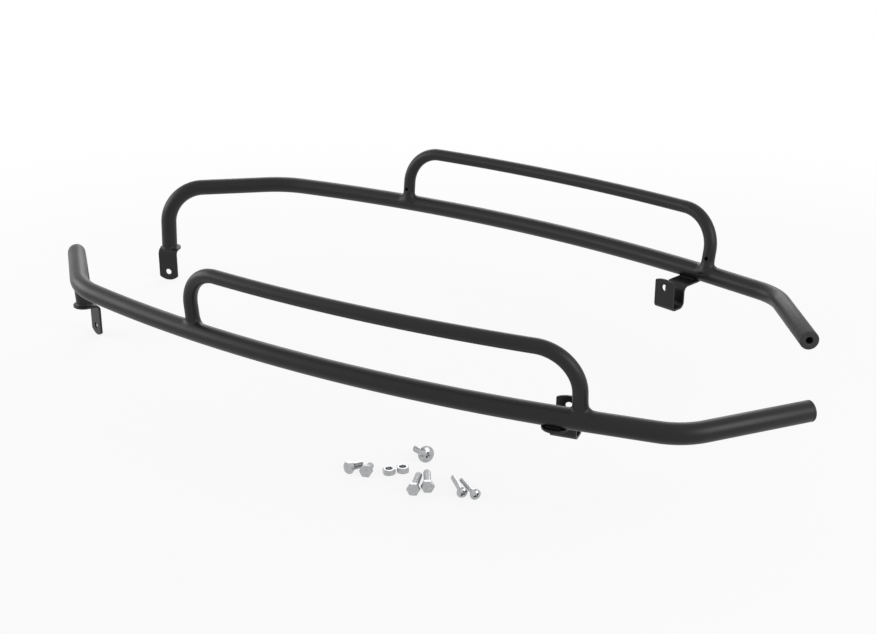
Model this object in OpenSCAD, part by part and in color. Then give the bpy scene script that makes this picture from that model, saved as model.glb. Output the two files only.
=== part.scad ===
// A pair of crash bars for a motorcycle, with the loose bolts, screws and nuts that fix them.
// Each bar is one bent tube with a bowed hoop welded on top and a folded bracket near each end.
// X runs forward, Y to the left and Z up. The floor is at Z = 0, under the rear brackets.
// A bar's own sizes are measured forward and outward from the foot of its rear leg
// and from the middle plane between the two bars.

/* [Tubes] */
// Outside diameter of the main tube
main_d = 22; // [20:0.5:26]
// Wall of the main tube
main_wall = 2; // [1.5:0.1:2.5]
// Outside diameter of the hoop tube
hoop_d = 16; // [13:0.5:18]
// Wall of the hoop tube
hoop_wall = 1.6; // [1.2:0.1:2.2]

/* [Main tube path] */
// Height of the long run's centre line above the floor
run_up = 134; // [125:1:150]
// Length of the rear leg, from its foot to the run's centre line
leg_len = 87.5; // [80:0.5:95]
// Distance of the leg's foot from the middle plane
leg_out = 116.5; // [100:0.5:140]
// How far the leg leans outward on its way up
leg_lean = 5; // [0:0.5:12]
// Forward distance of the outer rear corner
corner_x = 125.5; // [115:0.5:135]
// Outward distance of the outer rear corner
corner_out = 236.5; // [225:0.5:245]
// Forward distance of the widest point's corner
belly_x = 487.5; // [470:0.5:505]
// Outward distance of the widest point's corner
belly_out = 302.5; // [295:0.5:310]
// Forward distance of the front corner
nose_x = 899; // [880:0.5:920]
// Outward distance of the front corner
nose_out = 202; // [192:0.5:212]
// Forward distance of the front end
tip_x = 981.5; // [970:0.5:995]
// Outward distance of the front end
tip_out = 87.5; // [80:0.5:95]
// Rise of the front end above the run
tip_up = 2.5; // [0:0.5:6]

/* [Bends] */
// Bend radius at the top of the leg
leg_bend = 52; // [45:1:60]
// Bend radius at the outer rear corner
corner_bend = 105; // [80:1:115]
// Bend radius at the front corner
nose_bend = 67; // [50:1:80]
// Bend radius at the hoop's upper corners
hoop_bend = 45; // [38:1:50]

/* [Hoop] */
// Forward distance of the hoop's rear foot
hoop_rear_x = 330; // [320:0.5:340]
// Forward distance of the hoop's front foot
hoop_front_x = 799.5; // [790:0.5:810]
// Height of the hoop's top rail above the run, centre to centre
hoop_rise = 75; // [68:0.5:85]
// How far the hoop's rear leg leans outward
hoop_rear_lean = 8.5; // [4:0.5:14]
// How far the hoop's front leg leans outward
hoop_front_lean = 12; // [4:0.5:14]
// How far the front leg of the hoop slopes forward
hoop_slope = 3; // [0:0.5:6]
// How far the rear foot sits inboard of the run's centre line
hoop_rear_inset = 4.5; // [2:0.5:5]
// How far the front foot sits inboard of the run's centre line
hoop_front_inset = 3.5; // [1:0.5:5]
// Outward distance of the top rail's middle corner
hoop_belly_out = 280; // [274:0.5:284]
// Forward distance of the top rail's middle corner
hoop_belly_x = 568.5; // [540:0.5:590]
// Diameter of the vent hole in the inner side of each hoop leg
vent_d = 4.5; // [3:0.5:6]
// Height of the vent hole above the run's centre line
vent_up = 21; // [18:0.5:26]

/* [Brackets] */
// Thickness of the bracket plates
plate = 3; // [2.5:0.1:4]
// Diameter of the bolt holes
bolt_hole_d = 8.5; // [6.5:0.1:9]
// Width of the rear tab
rear_tab_w = 28; // [25:0.5:32]
// How far the rear tab's outer face stands from the leg's axis
rear_tab_reach = 15.1; // [13:0.1:18]
// Offset of the rear tab's centre from the leg's axis, along the tab and backwards
rear_tab_shift = -2; // [-5:0.5:2]
// Turn of the rear tab's face, from straight ahead towards the middle plane
rear_turn = 70; // [55:1:85]
// Radius of the rear bracket's round end, under the leg
rear_pad_r = 15; // [14:0.5:18]
// How far the round end's centre lies from the leg's axis, away from the tab
rear_pad_back = 0.5; // [0:0.5:3]
// Offset of the round end's centre from the leg's axis, along the tab and backwards
rear_pad_side = -1; // [-3:0.5:1]
// Inside radius of the rear bracket's fold
rear_fold_r = 5; // [3:0.5:6]
// Height of the rear bolt hole above the floor
rear_hole_up = 12.5; // [10:0.5:16]
// Drop of the rear tab's rounded lower edge below its corners
rear_tab_arc = 5.5; // [4:0.5:8]
// Forward distance of the front bracket
front_x = 776; // [765:1:785]
// Width of the front bracket's strip
front_w = 28; // [24:0.5:32]
// How far the round end's centre lies inboard of the run's centre line
front_pad_in = 1.5; // [0:0.5:3]
// How far inboard of the run the outer strap's face hangs
strap_in = 29.5; // [27:0.5:34]
// How far inboard of the run the inner tab's face hangs
tab_in = 53.5; // [50:0.5:60]
// Depth of the hook's bottom below the run's centre line
hook_drop = 40; // [34:0.5:46]
// Height of the front bolt hole below the run's centre line
front_hole_drop = 11.5; // [10:0.5:16]
// Height of the inner tab's crown above its bolt hole
front_tab_crown = 11; // [8:0.5:14]
// Drop of the inner tab's corners below its crown
front_tab_arc = 3; // [2:0.5:6]
// Inside radius of the fold under the tube
front_fold_r = 6; // [4:0.5:8]
// Inside radius of the hook's outer lower fold
hook_outer_r = 5; // [3:0.5:8]
// Inside radius of the hook's inner lower fold
hook_inner_r = 3.5; // [2:0.5:5]
// Depth of the tube's seat in the front bracket
seat_depth = 0.4; // [0.2:0.1:0.8]

/* [Welds] */
// Size of the weld beads on the brackets
weld = 2.7; // [1.5:0.1:3.5]
// Size of the weld beads round the hoop's feet
hoop_bead = 4; // [2:0.1:5]

/* [End plug] */
// Thickness of the plug's flange
plug_flange = 2.5; // [1.5:0.1:4]
// Width of the chamfer round the flange
plug_chamfer = 1; // [0.5:0.1:1.4]
// Length of the plug inside the tube
plug_len = 16; // [10:1:25]
// Diameter of the hole in the plug
plug_hole_d = 8; // [5:0.5:10]
// Clearance between the plug and the tube's bore
plug_gap = 0.1; // [0.05:0.05:0.3]
// Depth of the grooves between the plug's rings
plug_groove = 1; // [0.5:0.1:1.5]

/* [Placing] */
// How far the right bar stands ahead of the left one
stagger = 64; // [0:1:100]

/* [Loose fasteners] */
// Diameter of the bolt threads
bolt_d = 8; // [6:1:8]
// Width across the flats of the bolt heads and nuts
bolt_flats = 13; // [10:0.5:15]
// Height of the bolt heads
bolt_head_h = 5.3; // [4:0.1:6]
// Height of the nuts
nut_h = 6.5; // [5:0.1:8]
// Length of the long bolts
long_bolt_len = 35; // [30:1:45]
// Length of the short bolts
short_bolt_len = 16; // [12:1:20]
// Length of the wide headed screw
wide_screw_len = 27; // [20:1:35]
// Diameter of its head
wide_head_d = 19; // [16:0.5:21]
// Height of its head
wide_head_h = 5; // [4:0.1:6]
// Diameter of the slim screws
slim_d = 6; // [4:0.5:6]
// Length of the slim screws
slim_len = 40; // [30:1:45]
// Diameter of the slim screws' heads
slim_head_d = 12; // [10:0.5:13]
// Height of the slim screws' heads
slim_head_h = 4; // [3:0.1:5]

/* [Hidden] */

coat = "#2b2b2d";
plug_black = "#1c1c1d";
zinc = "#b9bcc0";
round_fn = 64;
// Long gentle bends need more steps than tight ones
bow_fn = 720;

// How far each straight laps into its bends, and how much thicker the bends are
lap = 0.5;
hair = 0.05;

// Vectors in plan and in space
function unit(v) = v / norm(v);
function turn_between(a, b) = acos(max(-1, min(1, unit(a) * unit(b))));
// Length that a bend takes from each side of its corner
function trim(p, i, r) = r * tan(turn_between(p[i] - p[i - 1], p[i + 1] - p[i]) / 2);
// Radius whose bend takes the length t from each side of its corner
function radius_for(p, i, t) = t / tan(turn_between(p[i] - p[i - 1], p[i + 1] - p[i]) / 2);

// Main tube's corners, with X forward, Y outward and Z above the floor
foot = [0, leg_out, run_up - leg_len];
main_path = [
    foot,
    [-1, leg_out + leg_lean, run_up],
    [corner_x, corner_out, run_up],
    [belly_x, belly_out, run_up],
    [nose_x, nose_out, run_up],
    [tip_x, tip_out, run_up + tip_up]
];
// The bow takes all the length that the corners beside it leave
straight_left = 1;
bow_trim = min(
    norm(main_path[3] - main_path[2]) - trim(main_path, 2, corner_bend),
    norm(main_path[4] - main_path[3]) - trim(main_path, 4, nose_bend)
) - straight_left;
bow_r = radius_for(main_path, 3, bow_trim);
main_bends = [0, leg_bend, corner_bend, bow_r, nose_bend, 0];

// Centre of the bow, and the run's outward distance and direction at a forward distance
bow_in = unit(unit(main_path[2] - main_path[3]) + unit(main_path[4] - main_path[3]));
bow_centre = main_path[3] + bow_in * sqrt(bow_r * bow_r + bow_trim * bow_trim);
function run_out(x) = bow_centre[1] + sqrt(bow_r * bow_r - pow(x - bow_centre[0], 2));
function run_turn(x) = -asin((x - bow_centre[0]) / bow_r);

// Hoop's corners
hoop_rear_foot = [hoop_rear_x, run_out(hoop_rear_x) - hoop_rear_inset, run_up];
hoop_front_foot = [hoop_front_x, run_out(hoop_front_x) - hoop_front_inset, run_up];
hoop_rear_leg = [0, hoop_rear_lean, hoop_rise];
hoop_front_leg = [hoop_slope, hoop_front_lean, hoop_rise];
// The legs start inside the run, this share of its radius above its centre line, where the coping cut ends them
foot_share = 0.4;
foot_start = main_d / 2 * foot_share / hoop_rise;
hoop_path = [
    hoop_rear_foot + hoop_rear_leg * foot_start,
    hoop_rear_foot + hoop_rear_leg,
    [hoop_belly_x, hoop_belly_out, run_up + hoop_rise],
    hoop_front_foot + hoop_front_leg,
    hoop_front_foot + hoop_front_leg * foot_start
];
hoop_trim = min(
    norm(hoop_path[2] - hoop_path[1]) - trim(hoop_path, 1, hoop_bend),
    norm(hoop_path[3] - hoop_path[2]) - trim(hoop_path, 3, hoop_bend)
) - straight_left;
hoop_bends = [0, hoop_bend, radius_for(hoop_path, 2, hoop_trim), hoop_bend, 0];

main_r = main_d / 2;
hoop_r = hoop_d / 2;
main_bore_r = main_r - main_wall;
hoop_bore_r = hoop_r - hoop_wall;

// Bracket levels
hook_bottom = run_up - hook_drop;
seat_up = run_up - main_r + seat_depth;
front_hole_up = run_up - front_hole_drop;

// The origin lies half way between the rearmost and foremost points of the pair
rearmost = -(rear_pad_side * sin(rear_turn) + rear_pad_back * cos(rear_turn) + rear_pad_r) - stagger / 2;
tip_dir = unit(main_path[5] - main_path[4]);
foremost = tip_x + plug_flange * tip_dir[0] + (main_r - plug_chamfer) * norm([tip_dir[1], tip_dir[2]]) + stagger / 2;
origin_x = (rearmost + foremost) / 2;

function side_x(side) = (side == "right" ? stagger : -stagger) / 2 - origin_x;

// Places a bar's piece on the right or on the left of the middle plane
module on_side(side) {
    translate([side_x(side), 0, 0])
        if (side == "right") {
            mirror([0, 1, 0]) children();
        } else {
            children();
        }
}

// Turns the Z axis to the direction dir, with X kept near the direction near_x
module point_along(at, dir, near_x) {
    z = unit(dir);
    x = unit(near_x - z * (near_x * z));
    y = cross(z, x);
    multmatrix([
        [x[0], y[0], z[0], at[0]],
        [x[1], y[1], z[1], at[1]],
        [x[2], y[2], z[2], at[2]],
        [0, 0, 0, 1]
    ]) children();
}

// One straight length of rod between two points
module rod(a, b, r) {
    side_dir = abs(unit(b - a)[2]) > 0.9 ? [1, 0, 0] : [0, 0, 1];
    point_along(a, b - a, side_dir) cylinder(r = r, h = norm(b - a), $fn = round_fn);
}

// One bend of rod, from the end of one straight length to the start of the next
module bend(before, corner, after, bend_r, r) {
    in_dir = unit(corner - before);
    out_dir = unit(after - corner);
    turn = turn_between(in_dir, out_dir);
    start = corner - in_dir * bend_r * tan(turn / 2);
    to_centre = unit(out_dir - in_dir * (in_dir * out_dir));
    axis = cross(in_dir, to_centre);
    // The arc starts on the side away from its centre and turns about axis
    point_along(start + to_centre * bend_r, axis, -to_centre)
        rotate_extrude(angle = turn, $fn = bend_r > 500 ? bow_fn : 2 * round_fn)
            translate([bend_r, 0]) circle(r = r, $fn = round_fn);
}

// A round rod of radius r along a path, with a bend at each inner corner.
// Each straight laps a little into its bends and is a hair thinner, so that no two skins run together.
module bent_rod(path, bends, r) {
    last = len(path) - 1;
    for (i = [0 : last - 1]) {
        dir = unit(path[i + 1] - path[i]);
        cut_start = i == 0 ? 0 : trim(path, i, bends[i]) - lap;
        cut_end = i == last - 1 ? 0 : trim(path, i + 1, bends[i + 1]) - lap;
        rod(path[i] + dir * cut_start, path[i + 1] - dir * cut_end, r);
    }
    for (i = [1 : last - 1]) {
        bend(path[i - 1], path[i], path[i + 1], bends[i], r + hair);
    }
}

// A path whose two ends are lengthened, for cuts that run past them
function longer(path, extra) = [
    for (i = [0 : len(path) - 1])
        i == 0 ? path[0] - unit(path[1] - path[0]) * extra :
        i == len(path) - 1 ? path[i] + unit(path[i] - path[i - 1]) * extra :
        path[i]
];

// The main tube as a full rod, which also cuts what is welded to it
module main_rod(r = main_r) {
    difference() {
        bent_rod([for (i = [0 : 5]) i == 0 ? foot - unit(main_path[1] - foot) * main_d : main_path[i]],
                 main_bends, r);
        // The leg's foot is cut level, to stand on its bracket
        translate([-main_d, leg_out - 1.5 * main_d, foot[2] - 2 * main_d])
            cube([2 * main_d, 3 * main_d, 2 * main_d]);
    }
}

module main_tube() {
    color(coat)
        difference() {
            main_rod();
            bent_rod(longer(main_path, main_d), main_bends, main_bore_r);
        }
}

// A short length of the main tube near a hoop's foot, as a cutter for the foot
module run_cutter(r = main_r) {
    bend(main_path[2], main_path[3], main_path[4], bow_r, r + hair);
}

module hoop() {
    color(coat)
        difference() {
            bent_rod(hoop_path, hoop_bends, hoop_r);
            bent_rod(longer(hoop_path, hoop_d), hoop_bends, hoop_bore_r);
            run_cutter();
            for (end = [0, 4]) {
                vent(end);
            }
        }
}

// A vent hole through the inner side of a hoop leg
module vent(end) {
    rise = (end == 0 ? hoop_rear_leg : hoop_front_leg) / hoop_rise;
    at = (end == 0 ? hoop_rear_foot : hoop_front_foot) + rise * vent_up;
    inward = unit([0, -rise[2], rise[1]]);
    rod(at, at + inward * hoop_d, vent_d / 2);
}

// A weld bead round a hoop's foot, which follows the saddle between the two tubes
module hoop_weld(end) {
    foot_at = end == 0 ? hoop_rear_foot : hoop_front_foot;
    rise = unit(end == 0 ? hoop_rear_leg : hoop_front_leg);
    // A ball round the joint trims the bead's outer corner, where the two offsets meet
    ball_up = main_r + hoop_bead * 0.25;
    ball_r = hoop_r + hoop_bead * 0.95;
    color(coat)
        difference() {
            intersection() {
                rod(foot_at, foot_at + rise * main_d, hoop_r + hoop_bead);
                run_cutter(main_r + hoop_bead);
                translate(foot_at + rise * ball_up) sphere(r = ball_r, $fn = round_fn);
            }
            rod(foot_at, foot_at + rise * 2 * main_d, hoop_r);
            run_cutter();
        }
}

// Frames of the two brackets: X along the strip's width, Y square to the tab's face, Z up
module rear_frame() {
    translate(foot) rotate([0, 0, -90 - rear_turn]) children();
}
module front_frame() {
    translate([front_x, run_out(front_x), 0]) rotate([0, 0, run_turn(front_x)]) children();
}

// A quarter turn of plate about an axis along X, starting at an angle up from Y
module fold(y, z, inside_r, start, w) {
    multmatrix([[0, 0, 1, -w / 2], [1, 0, 0, y], [0, 1, 0, z], [0, 0, 0, 1]])
        rotate([0, 0, start])
            rotate_extrude(angle = 90, $fn = 2 * round_fn)
                translate([inside_r, 0]) square([plate, w]);
}

// Stands a flat outline up behind the face at y, from the level z
module upright(y, z) {
    multmatrix([[1, 0, 0, 0], [0, 0, -1, y], [0, 1, 0, z], [0, 0, 0, 1]]) children();
}

// A tab with a rounded end at len, corners lower by arc and a bolt hole at hole_at
module tab(w, len, arc, hole_at) {
    end_r = (w * w / 4 + arc * arc) / (2 * arc);
    difference() {
        linear_extrude(plate)
            intersection() {
                translate([-w / 2, 0]) square([w, len]);
                union() {
                    translate([0, len - end_r]) circle(r = end_r, $fn = 3 * round_fn);
                    translate([-w, -w]) square([2 * w, len - 2 * arc + w]);
                }
            }
        translate([0, hole_at, -plate]) cylinder(d = bolt_hole_d, h = 3 * plate, $fn = round_fn);
    }
}

// Point where a line from p touches the circle at c with radius r, on the side s, or p inside the circle
function touch_point(c, r, p, s) =
    let (toward = atan2(p[1] - c[1], p[0] - c[0]), half = acos(min(1, r / norm(p - c))))
    norm(p - c) <= r ? p : c + r * [cos(toward + s * half), sin(toward + s * half)];

// Rear pad: a round end under the leg that widens to the tab's full width at the fold
rear_fold_y = rear_tab_reach - rear_fold_r - plate;
rear_pad_at = [rear_pad_side, -rear_pad_back];
module rear_pad_outline() {
    low = [rear_tab_shift - rear_tab_w / 2, rear_fold_y];
    high = [rear_tab_shift + rear_tab_w / 2, rear_fold_y];
    intersection() {
        union() {
            translate(rear_pad_at) circle(r = rear_pad_r, $fn = round_fn);
            polygon([
                rear_pad_at,
                touch_point(rear_pad_at, rear_pad_r, low, 1), low,
                high, touch_point(rear_pad_at, rear_pad_r, high, -1)
            ]);
        }
        translate([-2 * rear_tab_w, rear_fold_y - 4 * rear_tab_w]) square(4 * rear_tab_w);
    }
}

module rear_bracket() {
    tab_len = foot[2] - rear_fold_r - plate;
    color(coat)
        rear_frame() {
            translate([0, 0, -plate]) linear_extrude(plate) rear_pad_outline();
            translate([rear_tab_shift, 0, 0]) fold(rear_fold_y, -rear_fold_r - plate, rear_fold_r, 0, rear_tab_w);
            translate([rear_tab_shift, 0, -rear_fold_r - plate])
                mirror([0, 0, 1]) upright(rear_tab_reach, 0)
                    tab(rear_tab_w, tab_len, rear_tab_arc, tab_len - rear_hole_up);
        }
}

// Front pad: the strip's round end, under the tube
front_fold_y = -strap_in + front_fold_r;
module front_pad_outline() {
    translate([0, -front_pad_in]) circle(d = front_w, $fn = round_fn);
    translate([-front_w / 2, front_fold_y]) square([front_w, -front_pad_in - front_fold_y]);
}

module front_bracket() {
    pad_under = seat_up - plate;
    strap_y = -strap_in - plate;
    tab_y = -tab_in + plate;
    tab_from = hook_bottom + plate + hook_inner_r;
    crown = front_hole_up + front_tab_crown;
    color(coat)
        difference() {
            front_frame() {
                translate([0, 0, pad_under]) linear_extrude(plate) front_pad_outline();
                fold(front_fold_y, pad_under - front_fold_r, front_fold_r, 90, front_w);
                // Outer strap, down to the hook
                translate([-front_w / 2, strap_y, hook_bottom + plate + hook_outer_r])
                    cube([front_w, plate, pad_under - front_fold_r - hook_bottom - plate - hook_outer_r]);
                fold(strap_y - hook_outer_r, hook_bottom + plate + hook_outer_r, hook_outer_r, 270, front_w);
                // Bottom of the hook
                translate([-front_w / 2, tab_y + hook_inner_r, hook_bottom])
                    cube([front_w, strap_y - hook_outer_r - tab_y - hook_inner_r, plate]);
                fold(tab_y + hook_inner_r, tab_from, hook_inner_r, 180, front_w);
                upright(tab_y, tab_from)
                    tab(front_w, crown - tab_from, front_tab_arc, front_hole_up - tab_from);
            }
            run_cutter();
        }
}

// A bead round the leg's foot, as far as the pad reaches
module rear_bracket_weld() {
    // The bead's hollow face, from its toe on the pad to its end inside the leg's wall
    waist_r = main_r + weld * 0.4;
    waist_up = weld * 0.45;
    end_r = main_r - weld * 0.3;
    end_up = weld * 1.3;
    inner_r = main_r / 2;
    color(coat)
        difference() {
            rear_frame()
                intersection() {
                    rotate_extrude($fn = round_fn)
                        polygon([[inner_r, 0], [main_r + weld, 0], [waist_r, waist_up], [end_r, end_up], [inner_r, end_up]]);
                    linear_extrude(2 * weld) rear_pad_outline();
                }
            rod(foot - [0, 0, weld], foot + unit(main_path[1] - foot) * 3 * weld, main_r);
            main_rod();
        }
}

// Two beads between the tube and the front pad, one on each side
module front_bracket_weld() {
    bead_r = weld * 0.9;
    // Each bead's centre lies where its own circle meets the pad and the tube
    bead_up = bead_r * 0.4;
    from_centre = main_r + bead_r * 0.5;
    bead_y = sqrt(pow(from_centre, 2) - pow(main_r - seat_depth - bead_up, 2));
    color(coat)
        difference() {
            front_frame()
                intersection() {
                    for (y = [-bead_y, bead_y]) {
                        translate([-front_w / 2, y, seat_up + bead_up])
                            rotate([0, 90, 0]) cylinder(r = bead_r, h = front_w, $fn = round_fn);
                    }
                    translate([0, 0, seat_up]) linear_extrude(main_r) front_pad_outline();
                }
            run_cutter();
        }
}

// Plastic plug in the front end: a flange over the tube's end and a ringed core in its bore
module end_plug() {
    core_r = main_bore_r - plug_gap;
    ring = plug_len / 5;
    grooves = [for (i = [0 : 1]) each [
        [core_r, -ring * (2 * i + 1)],
        [core_r - plug_groove, -ring * (2 * i + 1)],
        [core_r - plug_groove, -ring * (2 * i + 2)],
        [core_r, -ring * (2 * i + 2)]
    ]];
    color(plug_black)
        point_along(main_path[5], tip_dir, [0, 0, 1])
            rotate_extrude($fn = round_fn)
                polygon(concat(
                    [
                        [plug_hole_d / 2, plug_flange],
                        [main_r - plug_chamfer, plug_flange],
                        [main_r, plug_flange - plug_chamfer],
                        [main_r, 0],
                        [core_r, 0]
                    ],
                    grooves,
                    [[core_r, -plug_len + 1], [core_r - 1, -plug_len], [plug_hole_d / 2, -plug_len]]
                ));
}

// Sets a loose piece down on the floor, forward and outward of the right bar's leg
module loose(at, turn) {
    translate([side_x("right") + at[0], -at[1], 0]) rotate([0, 0, turn]) children();
}

// Lays a headed piece down so that the rim of its head and the end of its shank rest on the floor
module laid(head_r, shank_r, len) {
    sink = atan((head_r - shank_r) / len);
    translate([0, 0, head_r * cos(sink)]) rotate([0, 90 + sink, 0]) children();
}

// Hexagon across the flats with its upper corners cut round
module hex_head(flats, h) {
    corner_r = flats / 2 / cos(30);
    // The top face is a circle, and a flat cone from it cuts the corners
    face_r = flats * 0.46;
    cone_slope = 1.8;
    intersection() {
        rotate([0, 0, 30]) translate([0, 0, -h]) cylinder(r = corner_r, h = h, $fn = 6);
        translate([0, 0, -h]) cylinder(r1 = face_r, r2 = face_r + h * cone_slope, h = h, $fn = round_fn);
    }
}

// Plain shank with a cut end
module shank(d, len) {
    point_h = d * 0.1;
    cylinder(d = d, h = len - point_h, $fn = round_fn);
    translate([0, 0, len - point_h]) cylinder(d1 = d, d2 = d - 2 * point_h, h = point_h, $fn = round_fn);
}

module hex_bolt(len) {
    laid(bolt_flats / 2, bolt_d / 2, len) {
        hex_head(bolt_flats, bolt_head_h);
        shank(bolt_d, len);
    }
}

// Round head with a domed top and a cross recess
module cross_head(d, h) {
    rim = h * 0.35;
    slot_w = d * 0.09;
    slot_len = d * 0.44;
    slot_h = h * 0.55;
    dome_r = (d * d / 4 + pow(h - rim, 2)) / (2 * (h - rim));
    difference() {
        translate([0, 0, -h])
            intersection() {
                cylinder(d = d, h = h, $fn = round_fn);
                translate([0, 0, dome_r]) sphere(r = dome_r, $fn = 2 * round_fn);
            }
        for (turn = [0, 90]) {
            rotate([0, 0, turn])
                translate([-slot_len / 2, -slot_w / 2, -h - 1]) cube([slot_len, slot_w, slot_h + 1]);
        }
    }
}

module screw(head_d, head_h, d, len) {
    laid(head_d / 2, d / 2, len) {
        cross_head(head_d, head_h);
        shank(d, len);
    }
}

module long_bolts() {
    color(zinc) {
        loose([611, 236.5], 115) hex_bolt(long_bolt_len);
        loose([620, 223], 125) hex_bolt(long_bolt_len);
    }
}

module short_bolts() {
    color(zinc) {
        loose([526, 234.5], 75) hex_bolt(short_bolt_len);
        loose([545, 231], 110) hex_bolt(short_bolt_len);
    }
}

module nut() {
    corner_r = bolt_flats / 2 / cos(30);
    edge = bolt_flats * 0.06;
    face_r = corner_r - 1.8 * edge;
    thread_r = bolt_d * 0.42;
    sink = 1.8;
    difference() {
        intersection() {
            cylinder(r = corner_r, h = nut_h, $fn = 6);
            rotate_extrude($fn = round_fn)
                polygon([
                    [0, 0], [face_r, 0], [corner_r, edge],
                    [corner_r, nut_h - edge], [face_r, nut_h], [0, nut_h]
                ]);
        }
        translate([0, 0, -1]) cylinder(r = thread_r, h = nut_h + 2, $fn = round_fn);
        // Countersinks at both faces
        for (face = [0, 1]) {
            translate([0, 0, face * nut_h]) mirror([0, 0, face])
                translate([0, 0, -1]) cylinder(r1 = thread_r + sink, r2 = thread_r, h = sink, $fn = round_fn);
        }
    }
}

module nuts() {
    color(zinc) {
        loose([563, 214], 20) nut();
        loose([573, 202], 8) nut();
    }
}

module wide_screw() {
    color(zinc) loose([580.5, 168], 149) screw(wide_head_d, wide_head_h, bolt_d, wide_screw_len);
}

module slim_screws() {
    color(zinc) {
        loose([658, 214.5], 136) screw(slim_head_d, slim_head_h, slim_d, slim_len);
        loose([672, 210.5], 143) screw(slim_head_d, slim_head_h, slim_d, slim_len);
    }
}

on_side("right") main_tube();  // right_main_tube
on_side("left") main_tube();  // left_main_tube
on_side("right") hoop();  // right_hoop
on_side("left") hoop();  // left_hoop
on_side("right") rear_bracket();  // right_rear_bracket
on_side("left") rear_bracket();  // left_rear_bracket
on_side("right") front_bracket();  // right_front_bracket
on_side("left") front_bracket();  // left_front_bracket
on_side("right") end_plug();  // right_end_plug
on_side("left") end_plug();  // left_end_plug
on_side("right") hoop_weld(0);  // right_rear_hoop_weld
on_side("left") hoop_weld(0);  // left_rear_hoop_weld
on_side("right") hoop_weld(4);  // right_front_hoop_weld
on_side("left") hoop_weld(4);  // left_front_hoop_weld
on_side("right") rear_bracket_weld();  // right_rear_bracket_weld
on_side("left") rear_bracket_weld();  // left_rear_bracket_weld
on_side("right") front_bracket_weld();  // right_front_bracket_weld
on_side("left") front_bracket_weld();  // left_front_bracket_weld
long_bolts();
short_bolts();
nuts();
wide_screw();
slim_screws();
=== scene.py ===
"""A pair of motorcycle crash bars with their loose fasteners, dressed for the studio.

The CAD solids give every size and place. This script sweeps the bent tubes finer than the CAD mesh shows them, lays
rippled weld beads round the joints, cuts the brackets as flat blanks and folds them, cuts threads and cross recesses,
and gives each piece its finish. A bar's own sizes are in millimetres, measured forward and outward from the foot of
its rear leg, as in the part's source. Everything in the scene is in metres.
"""

import logging
import math
from dataclasses import dataclass, field
from enum import Enum
from typing import Callable, Sequence

import bmesh
import bpy
from mathutils import Matrix, Vector

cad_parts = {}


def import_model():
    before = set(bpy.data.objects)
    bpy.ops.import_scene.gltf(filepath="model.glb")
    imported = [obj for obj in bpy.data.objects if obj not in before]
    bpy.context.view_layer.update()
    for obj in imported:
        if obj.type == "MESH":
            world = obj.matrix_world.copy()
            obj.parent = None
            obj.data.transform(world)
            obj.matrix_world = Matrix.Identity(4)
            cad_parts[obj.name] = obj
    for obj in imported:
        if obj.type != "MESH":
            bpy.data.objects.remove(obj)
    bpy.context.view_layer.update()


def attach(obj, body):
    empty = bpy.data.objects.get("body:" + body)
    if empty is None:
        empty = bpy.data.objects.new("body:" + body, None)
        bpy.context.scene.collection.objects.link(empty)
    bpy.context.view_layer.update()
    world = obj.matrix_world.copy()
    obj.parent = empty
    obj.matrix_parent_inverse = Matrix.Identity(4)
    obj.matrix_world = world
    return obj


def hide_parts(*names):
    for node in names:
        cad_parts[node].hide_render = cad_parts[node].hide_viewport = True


log = logging.getLogger("crash_bars")

MM = 0.001
UP = Vector((0, 0, 1))
Distance = Callable[[Vector], float]
Place = Callable[[Vector], Vector]
Fit = Callable[[Vector, Vector], Vector]
Flat = tuple[float, float]
Piece = bpy.types.Object
Tree = bpy.types.NodeTree
Socket = bpy.types.NodeSocket
Settings = dict[str, object]
Links = dict[str, Socket]


# Numbers and nodes


def turns(count: int) -> list[float]:
    """Angles of a full turn in equal steps, in radians."""
    return [2 * math.pi * i / count for i in range(count)]


def farthest(test: Callable[[float], bool], low: float, high: float, halvings: int) -> float:
    """Finds how far a test stays true.

    Args:
        test: takes a distance. It is true at low and false at high.
        low: the nearest distance.
        high: the farthest distance.
        halvings: how often the stretch between them is halved.

    Returns:
        The last distance at which the test is known to be true.
    """
    for _ in range(halvings):
        middle = (low + high) / 2
        low, high = (middle, high) if test(middle) else (low, middle)
    return low


def linear(hex_colour: str) -> tuple[float, float, float, float]:
    """Turns an sRGB colour into the linear values that Blender's shaders take.

    Args:
        hex_colour: the colour as #rrggbb.

    Returns:
        Linear red, green, blue and an alpha of 1.
    """
    channels = [int(hex_colour[i : i + 2], 16) / 255 for i in (1, 3, 5)]
    red, green, blue = [c / 12.92 if c <= 0.04045 else ((c + 0.055) / 1.055) ** 2.4 for c in channels]
    return (red, green, blue, 1.0)


def per_metre(size_mm: float) -> float:
    """Scale of a texture whose features are size_mm apart."""
    return 1 / (size_mm * MM)


def add_node(tree: Tree, kind: str, settings: Settings | None = None, links: Links | None = None) -> bpy.types.Node:
    """Adds one node with its settings and the links into it.

    Args:
        tree: the node tree that takes the node.
        kind: the node's type name.
        settings: values for the node's own properties or, where none has that name, its input sockets.
        links: the sockets that feed its inputs, by input name or by number written as text.

    Returns:
        The new node.
    """
    node = tree.nodes.new(kind)
    for name, value in (settings or {}).items():
        if hasattr(node, name):
            setattr(node, name, value)
        else:
            node.inputs[int(name) if name.isdigit() else name].default_value = value
    for name, socket in (links or {}).items():
        tree.links.new(socket, node.inputs[int(name) if name.isdigit() else name])
    return node


# Finishes


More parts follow.
